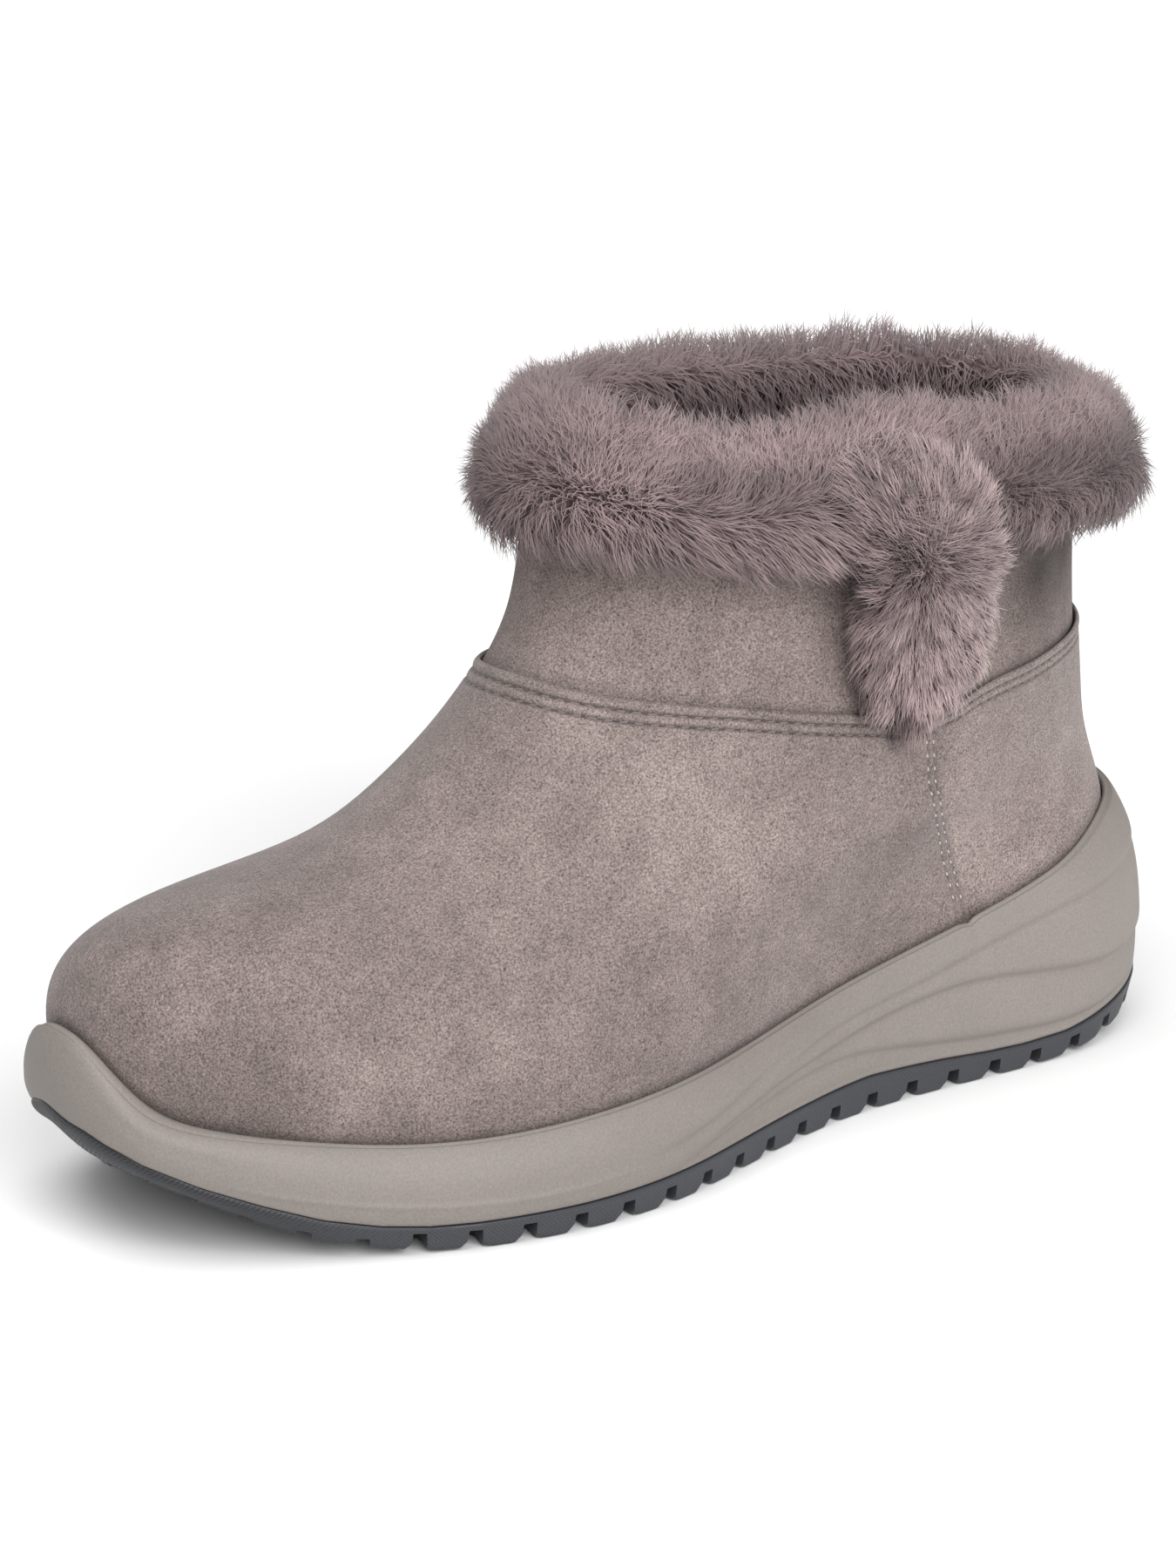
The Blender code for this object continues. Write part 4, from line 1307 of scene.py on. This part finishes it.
def build_lining(material):
    theta = np.linspace(0, 2 * math.pi, 121)[:-1]
    rows = []
    for share in np.linspace(0, 1, 40):
        level = level_at(theta, collar_middle(theta) - LINING_HEAD) * share
        height = upper_surface(level, theta)[:, 2]
        narrow = grows(height - seam_height(theta), -12, 10)
        rows.append(upper_at(level, theta, -(SUEDE + LINING_GAP) - LINING_STEP * narrow))
    points = np.array(rows)
    points[0, :, 2] = footbed(HEEL_X - points[0, :, 0]) + GAP
    piece = grid_piece("plush_lining", points, columns_meet=True)
    finish_with(piece, "SOLIDIFY", thickness=PILE * MM, offset=-1.0)
    place(piece, material, "plush")


TUFT_RISE = 0.25           # height and size of the lumps on the footbed's plush
TUFT_SIZE = 4.0
INSOLE_EDGE = (  # inset from the upper's outside, height over the foam
    (4.6, GAP), (3.5, GAP + 1.0), (3.4, 3.2), (4.2, 4.2), (5.6, 4.7),
)


def build_insole(material):
    theta = even_angles(200)
    level = np.zeros(len(theta))
    rows = []
    for inset, lift in INSOLE_EDGE:
        ring = upper_at(level, theta, -inset)
        ring[:, 2] = footbed(HEEL_X - ring[:, 0]) + lift
        rows.append(ring)
    top = closed_to_spine(rows[-1], 10, lambda u, share: footbed(u) + INSOLE_EDGE[-1][1])
    for ring in top[:-1]:
        ring[:, 2] += TUFT_RISE * lumps(ring, TUFT_SIZE)
    under = closed_to_spine(rows[0], 2, lambda u, share: footbed(u) + GAP)
    piece = grid_piece("insole_plush", under[::-1] + rows + top, columns_meet=True)
    place(piece, material, "plush", "insole")


# ---------------------------------------------------------------- fur
HAIR_SIDES = 3
COLLAR_PIECES = 3
COLLAR_HAIRS = 17600       # hairs in each of them
FLAP_HAIRS = 12000
COLLAR_TUFT = 26           # hairs that draw together, on the roll and on the flap
FLAP_TUFT = 34
ROLL_MOTTLE = 0.12         # how far whole tufts differ in tone
FLAP_MOTTLE = 0.50
ROOT_DEPTH = 0.4           # how deep the hairs start in the skin
FUR_INSET = 7.5            # depth of the hair on the roll
FLAP_INSET = 5.0           # the flap's skin lies this far in from its edge
FLAP_HAIR_ROOM = 7.0       # and this far in from its face
FLAP_HAIR = 7.6            # length of the flap's hair
TUFT_UNEVEN = 0.09         # how far whole tufts differ in length
OWN_SIDE = 0.24            # share of a hair's own side in its shading
HAIR_BEND = (0.30, 0.36)   # where its middle lies: out from the skin, and to the tip
CLOSENESS = (0.25, 1.0)    # how near single hairs draw to their tuft
MID_THICK = 1.5            # a hair is this much thicker at its middle
RUFFLE = 0.27              # how far single hairs stray from the combing
TAIL = (99.5, 2.0, 3.8)    # station, half width and extra length of the tail tuft
# combing, length and tone of the roll's hair
HAIR_TURN = 0.45           # how far swirls turn it round the boot
PARTING = (0.82, 0.5, 1.1)  # how low it lies, how far it wanders, how soft it is
COMB_UP = (0.65, 0.8, 0.45)  # above the parting, below it, and on the inner side
COMB_ASIDE = (0.2, 0.6)    # to the toe or the heel: at least, and more below
FRINGE = (0.25, 0.75)      # how long the lower edge hangs: at the rear, more in front
MIDDLE_SHADE = (0.46, 0.20)  # shade along the roll's middle, and how it varies
FRONT_FADE = 2.4           # how fast that shade ends towards the toe
REAR_SHADE = 0.10          # shade behind the flap
CREST_LIGHT = 0.36         # painted light: how much paler the crest is
ROLL_LENGTH = (1.16, 0.16, 0.5)  # in depths: plain, more in waves, more in the fringe
ROLL_LENGTHS = (0.74, 1.10)  # and how single hairs vary
ROLL_TINT = (0.16, 0.24, 0.2, 0.18)  # single hairs, waves, fringe, inner side
ROLL_WIDTHS = (0.20, 0.37)
ROLL_GATHER = (0.26, 0.34)  # how near tufts draw together, and more in the fringe
INNER_HAIR = (0.3, 0.9, 0.5)  # inside: thicker, less gathered, less varied
ONE_TONE = (0.2, 0.45, 0.2)  # how plain a hair is: all, inside, on the crest
# the same for the flap's hair
FLAP_LENGTHS = (0.75, 1.1)
FLAP_WIDTHS = (0.20, 0.36)
FLAP_GATHER = 0.50
FLAP_TINT = (0.26, 0.48, 0.42)  # single hairs, waves, rear part
FORE_SHADE = 0.38          # toe-ward of the whorl, next to the roll
WHORL_SHADE = 0.28
# rows at the flap's lower and upper end, and how far their hair stands up
FLAP_ENDS = ((0, -1.0), (1, -0.7), (2, -0.4), (-1, 1.0), (-2, 0.7), (-3, 0.4))


def hair_shape():
    """One hair standing on the origin: a slim closed cone with a bend ring."""
    deselect()
    bpy.ops.mesh.primitive_cone_add(vertices=HAIR_SIDES, radius1=1, radius2=0, depth=1,
                                    end_fill_type="NGON", location=(0, 0, 0.5))
    piece = bpy.context.object
    bpy.ops.object.transform_apply(location=True, rotation=False, scale=False)
    bpy.ops.object.mode_set(mode="EDIT")
    bpy.ops.mesh.select_all(action="SELECT")
    bpy.ops.mesh.bisect(plane_co=(0, 0, 0.5), plane_no=(0, 0, 1))
    bpy.ops.object.mode_set(mode="OBJECT")
    points = np.array([v.co for v in piece.data.vertices], float)
    faces = [tuple(p.vertices) for p in piece.data.polygons]
    bpy.data.objects.remove(piece)
    return points, faces


def hair_map(shape, faces):
    """Where each face corner of a hair lies in its own cell of the UV map."""
    turn = (np.arctan2(shape[:, 1], shape[:, 0]) / (2 * math.pi)) % 1
    corners = []
    for face in faces:
        wide = [turn[v] for v in face if np.hypot(*shape[v, :2]) > 1e-6]
        wrapped = max(wide) - min(wide) > 0.5
        level = np.ptp(shape[list(face), 2]) < 1e-6
        for v in face:
            if np.hypot(*shape[v, :2]) < 1e-6:
                across = np.mean([w + (wrapped and w < 0.5) for w in wide])
            else:
                across = turn[v] + (wrapped and turn[v] < 0.5)
            up = 0.06 + 0.9 * shape[v, 2]
            if level:
                across, up = turn[v], 0.03 + 0.02 * shape[v, 0]
            corners.append((across / 1.35, up))
    return np.array(corners)


def grow(name, roots, out, lean, length, width, tint, clumps, gather, rng, mottle, plain=0.0):
    """Hairs from roots (mm). out is the skin's direction, lean the sideways
    combing as a share of the length; hairs near a clump draw together. plain
    says how far a hair keeps one tone from root to tip."""
    count = len(roots)
    roots = roots - out * ROOT_DEPTH
    aim = unit(out + lean + rng.normal(0, RUFFLE, (count, 3)))
    tips = roots + aim * length[:, None]
    centres = rng.choice(count, clumps, replace=False)
    tree = kdtree.KDTree(clumps)
    for i, c in enumerate(centres):
        tree.insert(Vector(roots[c]), i)
    tree.balance()
    near = np.array([centres[tree.find(Vector(p))[1]] for p in roots])
    spread = rng.uniform(*CLOSENESS, len(roots))[:, None] * gather
    tips = tips + (tips[near] - tips) * spread
    uneven = rng.normal(0, 1, count)[near]
    tips = tips + (tips - roots) * (TUFT_UNEVEN * uneven)[:, None]
    tint = tint + mottle * 0.5 * uneven
    own = tips - roots
    size = np.linalg.norm(own, axis=1, keepdims=True)
    bend = roots + out * size * HAIR_BEND[0] + own * HAIR_BEND[1]
    shape, faces = hair_shape()
    a = unit(np.cross(own, rng.normal(0, 1, (count, 3))))
    b = np.cross(own / size, a)
    rise = shape[:, 2]
    stem = (roots[:, None] * ((1 - rise) * (1 - 2 * rise))[None, :, None]
            + bend[:, None] * (4 * rise * (1 - rise))[None, :, None]
            + tips[:, None] * (rise * (2 * rise - 1))[None, :, None])
    thick = np.where(rise == 0.5, MID_THICK, 1.0) / 2
    points = (stem + a[:, None] * (shape[:, 0] * thick)[None, :, None] * width[:, None, None]
              + b[:, None] * (shape[:, 1] * thick)[None, :, None] * width[:, None, None])
    plain = np.broadcast_to(plain, count)[:, None]
    along = rise[None] * (1 - plain) + 0.5 * plain
    tint = np.broadcast_to(tint[:, None], along.shape)
    piece = repeated(name, faces, points, along=along, tint=tint)
    # soft light: the hair's own side counts for less than the skin's direction
    side = a[:, None] * shape[None, :, :1] + b[:, None] * shape[None, :, 1:2]
    soft = unit(unit(side) * OWN_SIDE + out[:, None] * (1 - OWN_SIDE))
    piece.data.normals_split_custom_set_from_vertices(soft.reshape(-1, 3))
    cells = math.ceil(math.sqrt(count))
    cell = np.stack([np.arange(count) % cells, np.arange(count) // cells], -1)
    corners = (cell[:, None] + 0.05 + 0.9 * hair_map(shape, faces)[None]) / cells
    layer = piece.data.uv_layers.new(name="OFBake")
    layer.data.foreach_set("uv", corners.astype(np.float32).ravel())
    return piece


def scattered(points, keep, count, rng):
    """Random places on a grid surface, even by area: cell rows, columns and
    the shares within the cell."""
    a = points[1:, :-1] - points[:-1, :-1]
    b = points[:-1, 1:] - points[:-1, :-1]
    area = np.linalg.norm(np.cross(a, b), axis=-1) * keep
    total = np.cumsum(area.ravel())
    pick = np.searchsorted(total, rng.uniform(0, total[-1], count))
    row, column = np.unravel_index(np.minimum(pick, area.size - 1), area.shape)
    return row, column, rng.uniform(0, 1, count), rng.uniform(0, 1, count)


def between(table, row, column, s, t):
    """Value of a grid table at places inside its cells."""
    s, t = s[:, None], t[:, None]
    return ((table[row, column] * (1 - t) + table[row, column + 1] * t) * (1 - s)
            + (table[row + 1, column] * (1 - t) + table[row + 1, column + 1] * t) * s)


def grid_normals(points, inside):
    """Outward directions of a grid surface, away from the inside points."""
    up = np.gradient(points, axis=0)
    along = np.gradient(points, axis=1)
    normal = unit(np.cross(along, up))
    flip = ((points - inside) * normal).sum() < 0
    return -normal if flip else normal


def fur_section(theta, turn):
    """The roll's skin under the hair, with its dipping crest and proud front."""
    shape = np.array(ROLL_SHAPE)
    degrees = np.degrees(theta) % 360
    crest = np.interp(degrees, shape[:, 0], shape[:, 1])
    proud = np.interp(degrees, shape[:, 0], shape[:, 2])
    middle = collar_middle(theta)
    level = level_at(theta, middle)
    thick = collar_half_thick(theta) - FUR_INSET
    reach = collar_shift(theta) + thick * np.cos(turn) - COLLAR_LEAN * np.sin(turn)
    reach = reach + proud * grows(np.cos(turn), -0.6, 1.2)
    point = flat_offset(level, theta, reach)
    point[..., 2] = middle + (collar_half_height(theta) - FUR_INSET) * np.sin(turn)
    point[..., 2] += crest * grows(np.sin(turn), -0.3, 1.1)
    return point


def build_collar(skin_material, material, rng):
    theta = np.linspace(0, 2 * math.pi, 301)
    turn = np.linspace(0, 2 * math.pi, 49)
    skin = np.array([fur_section(theta, t) for t in turn])
    skin[-1] = skin[0]
    skin[:, -1] = skin[:, 0]
    core = skin[:-1].mean(axis=0)[None]
    normal = grid_normals(skin, core)
    normal[-1] = normal[0] = (normal[0] + normal[-1]) / 2
    base = grid_piece("fur_roll_skin", skin[:-1, :-1] - normal[:-1, :-1] * 0.2,
                      rows_meet=True, columns_meet=True)
    place(base, skin_material, "fur")
    round_way = unit(np.gradient(skin, axis=1))
    up_way = unit(np.cross(normal, round_way))
    if (up_way[0, :, 2] < 0).mean() > 0.5:
        up_way = -up_way
    # how far each place faces outward and upward, and where it lies on the boot
    outward = np.cos(turn)[:, None]
    upward = np.sin(turn)[:, None]
    station = HEEL_X - skin[..., 0]
    outer = fades(skin[..., 1], SIDE_SHIFT + 12, 24)
    outer_face = grows(outward, -0.2, 0.6)
    inner_face = grows(-outward, -0.25, 0.5)
    high_face = grows(upward, 0.1, 0.5)
    front = grows(station, 98, 14)
    # the hair is combed up above a wavy parting and down below it; toe-ward of
    # the flap it leans to the toe, behind it to the heel
    wander = lumps(skin, 13.0, 5.0)
    drop, stray, soft = PARTING
    parting = smoothstep((upward + drop + stray * wander) / soft) * 2 - 1
    above, below, inner_up = COMB_UP
    comb_up = np.where(parting > 0, above * (1 - upward.clip(0, 1)), below)
    comb_up = outer_face * comb_up * parting + inner_face * inner_up
    least, more = COMB_ASIDE
    to_toe = (front * 2 - 1) * outer * outer_face * (least + more * (1 - parting) / 2)
    # angles grow from the heel by the outer side to the toe
    way = up_way * comb_up[..., None] - round_way * to_toe[..., None]
    swirl = lumps(skin, 14.0, 3.0)
    way = way + round_way * (swirl * HAIR_TURN)[..., None]
    # longer, paler hair hangs along the lower edge of the outer side
    fringe = fades(skin[..., 1], SIDE_SHIFT + 28, 24) * (FRINGE[0] + FRINGE[1] * front)
    fringe = fringe * grows(-upward, 0.1, 0.6) * outer_face
    # painted shade: the middle of the front and the part behind the flap lie in shade
    painted_light_and_shade = bell(upward + 0.15, 0.4) * outer_face * outer
    painted_light_and_shade = painted_light_and_shade * (MIDDLE_SHADE[0] + MIDDLE_SHADE[1] * wander)
    painted_light_and_shade = painted_light_and_shade * (1 - FRONT_FADE * grows(station, 142, 18))
    painted_light_and_shade = painted_light_and_shade + REAR_SHADE * outer_face * outer * (1 - front)
    # painted light on the crest, which faces up to the light
    painted_light_and_shade = painted_light_and_shade - CREST_LIGHT * outer_face * high_face
    inside = np.broadcast_to(inner_face, station.shape)
    crest = (1 - inside) * high_face
    keep = np.ones((len(turn) - 1, len(theta) - 1))
    keep = keep * (0.75 + 0.35 * outer_face[:-1, :1])
    arcs = np.array_split(np.arange(len(theta) - 1), COLLAR_PIECES)
    for number, arc in enumerate(arcs):
        part = np.zeros_like(keep)
        part[:, arc] = keep[:, arc]
        spots = scattered(skin, part, COLLAR_HAIRS, rng)
        roots = between(skin, *spots)
        out = unit(between(normal, *spots))
        lean = between(way, *spots)
        wave = lumps(roots, 11.0, 7.0)
        low, within, high, dark = [
            between(table[..., None], *spots)[:, 0] for table in (fringe, inside, crest, painted_light_and_shade)]
        thicker, looser, calmer = INNER_HAIR
        length = FUR_INSET * (ROLL_LENGTH[0] + ROLL_LENGTH[1] * wave + ROLL_LENGTH[2] * low)
        length = length * rng.uniform(*ROLL_LENGTHS, COLLAR_HAIRS)
        single = rng.normal(0, 0.5, COLLAR_HAIRS) * (1 - calmer * within)
        tint = 0.5 + ROLL_TINT[0] * single + ROLL_TINT[1] * wave
        # the painted light and shade go into each hair's tint
        tint = tint - dark + ROLL_TINT[2] * low - ROLL_TINT[3] * within
        width = rng.uniform(*ROLL_WIDTHS, COLLAR_HAIRS) * (1 + thicker * within)
        gather = (ROLL_GATHER[0] + ROLL_GATHER[1] * low) * (1 - looser * within)
        plain = ONE_TONE[0] + ONE_TONE[1] * within + ONE_TONE[2] * high
        piece = grow(f"fur_roll_{number + 1}", roots, out, lean, length, width, tint,
                     COLLAR_HAIRS // COLLAR_TUFT, gather[:, None], rng, ROLL_MOTTLE, plain)
        place(piece, material, "fur")
        if number == 0:
            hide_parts("fur_collar")


def flap_grid(inset, thin):
    """The flap's surface: rows up, columns round, moved in from the outside."""
    turn = np.linspace(0, 2 * math.pi, 41)
    # a section between an oval and a rectangle
    side = np.sign(np.cos(turn)) * np.abs(np.cos(turn)) ** 0.7
    face = np.sign(np.sin(turn)) * np.abs(np.sin(turn)) ** 0.8
    table = np.array(FLAP)
    heights = np.linspace(table[0, 0] + inset * 0.9, table[-1, 0] - inset, 34)
    loops = []
    for height in heights:
        station, half_width, thick, stand_off = [
            float(np.interp(height, table[:, 0], table[:, c])) for c in (1, 2, 3, 4)]
        # both ends close in a round
        ends = min(height - heights[0], heights[-1] - height) / (inset * 1.5 + 1e-6)
        close = math.sqrt(max(0.0, min(1.0, ends)) * 0.94 + 0.06)
        half_width = max(half_width - inset, 2.0) * close
        body = max(thick - thin, 1.2) * close
        theta = outer_angle(station + half_width * side, np.full(len(turn), height))
        level = level_at(theta, np.full(len(turn), height))
        depth = stand_off + min(1.5, thick * 0.3) + body * (0.5 + 0.5 * face)
        loop = flat_offset(level, theta, depth)
        loop[:, 2] = height
        loops.append(loop)
    return np.array(loops), face


def build_flap(skin_material, material, rng):
    skin, face = flap_grid(FLAP_INSET, FLAP_HAIR_ROOM)
    skin[:, -1] = skin[:, 0]
    core = skin[:, :-1].mean(axis=1)[:, None]
    normal = grid_normals(skin, core)
    normal = normal + unit(skin - core) * 0.5
    for end, lift in FLAP_ENDS:
        normal[end, :, 2] += lift
    normal = unit(normal)
    inside = [core[0] + (skin[0, :-1] - core[0]) * s for s in (0.02, 0.5)]
    above = [core[-1] + (skin[-1, :-1] - core[-1]) * s for s in (0.5, 0.02)]
    points = np.array(inside + list(skin[:, :-1]) + above)
    points[0] = core[0]
    points[-1] = core[-1]
    base = grid_piece("fur_flap_skin", points, columns_meet=True)
    place(base, skin_material, "flap_fur")
    station, height = WHORL
    theta = outer_angle(np.array([station]), np.array([height]))
    centre = flat_offset(level_at(theta, np.array([height])), theta, np.array([12.0]))[0]
    keep = np.where(face[:-1] > -0.6, 1.0, 0.15)[None, :] * np.ones((len(skin) - 1, 1))
    spots = scattered(skin, keep, FLAP_HAIRS, rng)
    roots = between(skin, *spots)
    out = unit(between(normal, *spots))
    away = roots - centre
    away = away - out * (away * out).sum(1)[:, None]
    far = np.linalg.norm(away, axis=1, keepdims=True)
    lean = away / np.maximum(far, 1e-6) * np.clip(far / 13, 0, 1)
    wave = lumps(roots, 5.5, 11.0)
    length = FLAP_HAIR * (1 + 0.15 * wave) * rng.uniform(*FLAP_LENGTHS, FLAP_HAIRS)
    length = length * (0.8 + 0.2 * np.clip(far[:, 0] / 8, 0, 1))
    rear = np.clip((station - (HEEL_X - roots[:, 0])) / 14, 0, 1)
    tint = 0.5 + FLAP_TINT[0] * rng.normal(0, 0.5, FLAP_HAIRS)
    tint = tint + FLAP_TINT[1] * wave + FLAP_TINT[2] * rear
    # painted shade where the flap leaves the roll, toe-ward of the whorl, and in the whorl
    fore = grows(HEEL_X - roots[:, 0] - station, 1, 9)
    tint = tint - FORE_SHADE * fore * grows(roots[:, 2] - height, -8, 14)
    tint = tint - WHORL_SHADE * bell(far[:, 0], 6)
    width = rng.uniform(*FLAP_WIDTHS, FLAP_HAIRS)
    # a thin darker tuft hangs out under the flap's lower end
    tail_station, half_width, longer = TAIL
    tail = roots[:, 2] < skin[2, 0, 2] + 1.0
    tail = tail & (np.abs(HEEL_X - roots[:, 0] - tail_station) < half_width)
    length = np.where(tail, length + longer, length)
    lean = np.where(tail[:, None], np.array([0, 0, -1.6]), lean)
    tint = np.where(tail, tint - 0.1, tint)
    piece = grow("fur_flap_hair", roots, out, lean, length, width, tint,
                 FLAP_HAIRS // FLAP_TUFT, FLAP_GATHER, rng, FLAP_MOTTLE)
    place(piece, material, "flap_fur", "fur_flap")


# ---------------------------------------------------------------- studio
CAMERA_TARGET = (-0.00096, 0.00299, 0.0675)
CAMERA_ANGLES = (-41.442, 17.589)  # degrees round from the outer side, and up
CAMERA_DISTANCE = 1.03     # metres
CAMERA_LENS = 112.63       # focal length for a sensor 36 wide
CAMERA_SHIFT = (-0.0223, 0.0141)
SKY_STRENGTH = 0.26
SOFT_LIGHT_WIDTH = 42.0    # degrees across, as from a wide softbox
SOFT_LIGHTS = (
    # name, where it comes from, strength
    ("front", (-0.25, -1, 0.62), 2.70),
    ("left", (-0.75, -0.65, 0.45), 0.25),
    ("back", (0.2, 1, 0.6), 0.40),
    ("overhead", (-0.35, -0.2, 1.1), 1.60),
)


def build_studio():
    deselect()
    bpy.ops.mesh.primitive_plane_add(size=12)
    floor = bpy.context.object
    floor.name = "studio_floor"
    paper = Finish("white paper floor", (0.93, 0.93, 0.93), 0.9, specular_ior_level=0.0)
    floor.data.materials.append(paper.material)
    world = bpy.data.worlds.new("soft studio")
    bpy.context.scene.world = world
    world.use_nodes = True
    sky = world.node_tree.nodes["Background"]
    sky.inputs["Color"].default_value = (1, 1, 1, 1)
    sky.inputs["Strength"].default_value = SKY_STRENGTH
    for name, towards, power in SOFT_LIGHTS:
        light = bpy.data.lights.new(name, "SUN")
        light.angle = math.radians(SOFT_LIGHT_WIDTH)
        light.energy = power
        lamp = bpy.data.objects.new(name, light)
        bpy.context.scene.collection.objects.link(lamp)
        lamp.rotation_euler = Vector(towards).to_track_quat("Z", "Y").to_euler()


def build_camera():
    target = Vector(CAMERA_TARGET)
    azimuth, elevation = map(math.radians, CAMERA_ANGLES)
    away = Vector((math.sin(azimuth) * math.cos(elevation),
                   -math.cos(azimuth) * math.cos(elevation), math.sin(elevation)))
    data = bpy.data.cameras.new("camera")
    data.lens = CAMERA_LENS
    data.sensor_width = 36
    data.shift_x, data.shift_y = CAMERA_SHIFT
    data.clip_start = 0.05
    camera = bpy.data.objects.new("camera", data)
    bpy.context.scene.collection.objects.link(camera)
    camera.location = target + away * CAMERA_DISTANCE
    camera.rotation_euler = (-away).to_track_quat("-Z", "Y").to_euler()
    bpy.context.scene.camera = camera
    bpy.context.scene.view_settings.view_transform = "Standard"


def main():
    rng = np.random.default_rng(11)
    build_studio()
    build_camera()
    vamp_suede = suede("vamp suede", spots=VAMP_NAP_AND_PAINTED_LIGHT_SPOTS)
    quarter_suede = suede("quarter suede", QUARTER_PAINTED_LIGHT)
    band_suede = suede("band suede", BAND_LIGHT, BAND_SPOTS, BAND_SHINE)
    build_outsole(rubber_finish())
    build_midsole(foam_finish())
    plush = plush_finish()
    build_insole(plush)
    build_lining(plush)
    vamp = build_panel("vamp_suede", False, vamp_suede, "suede", "vamp")
    quarter = build_panel("quarter_suede", True, quarter_suede, "suede_quarter", "quarter")
    build_shaft(band_suede)
    sew("edge_stitches", edge_rows(vamp) + edge_rows(quarter), EDGE_STITCH,
        thread_finish("edge thread", EDGE_THREAD_TONE), rng)
    sew("side_stitches", side_rows(vamp), SIDE_STITCH,
        thread_finish("side thread", SIDE_THREAD_TONE), rng)
    skin = Finish("fur skin", FUR_SKIN_TONE, 0.95, specular_ior_level=0.1).material
    build_collar(skin, fur_finish("roll fur", ROLL_TONES), rng)
    build_flap(skin, fur_finish("flap fur", FLAP_TONES, FLAP_LIGHT), rng)


main()
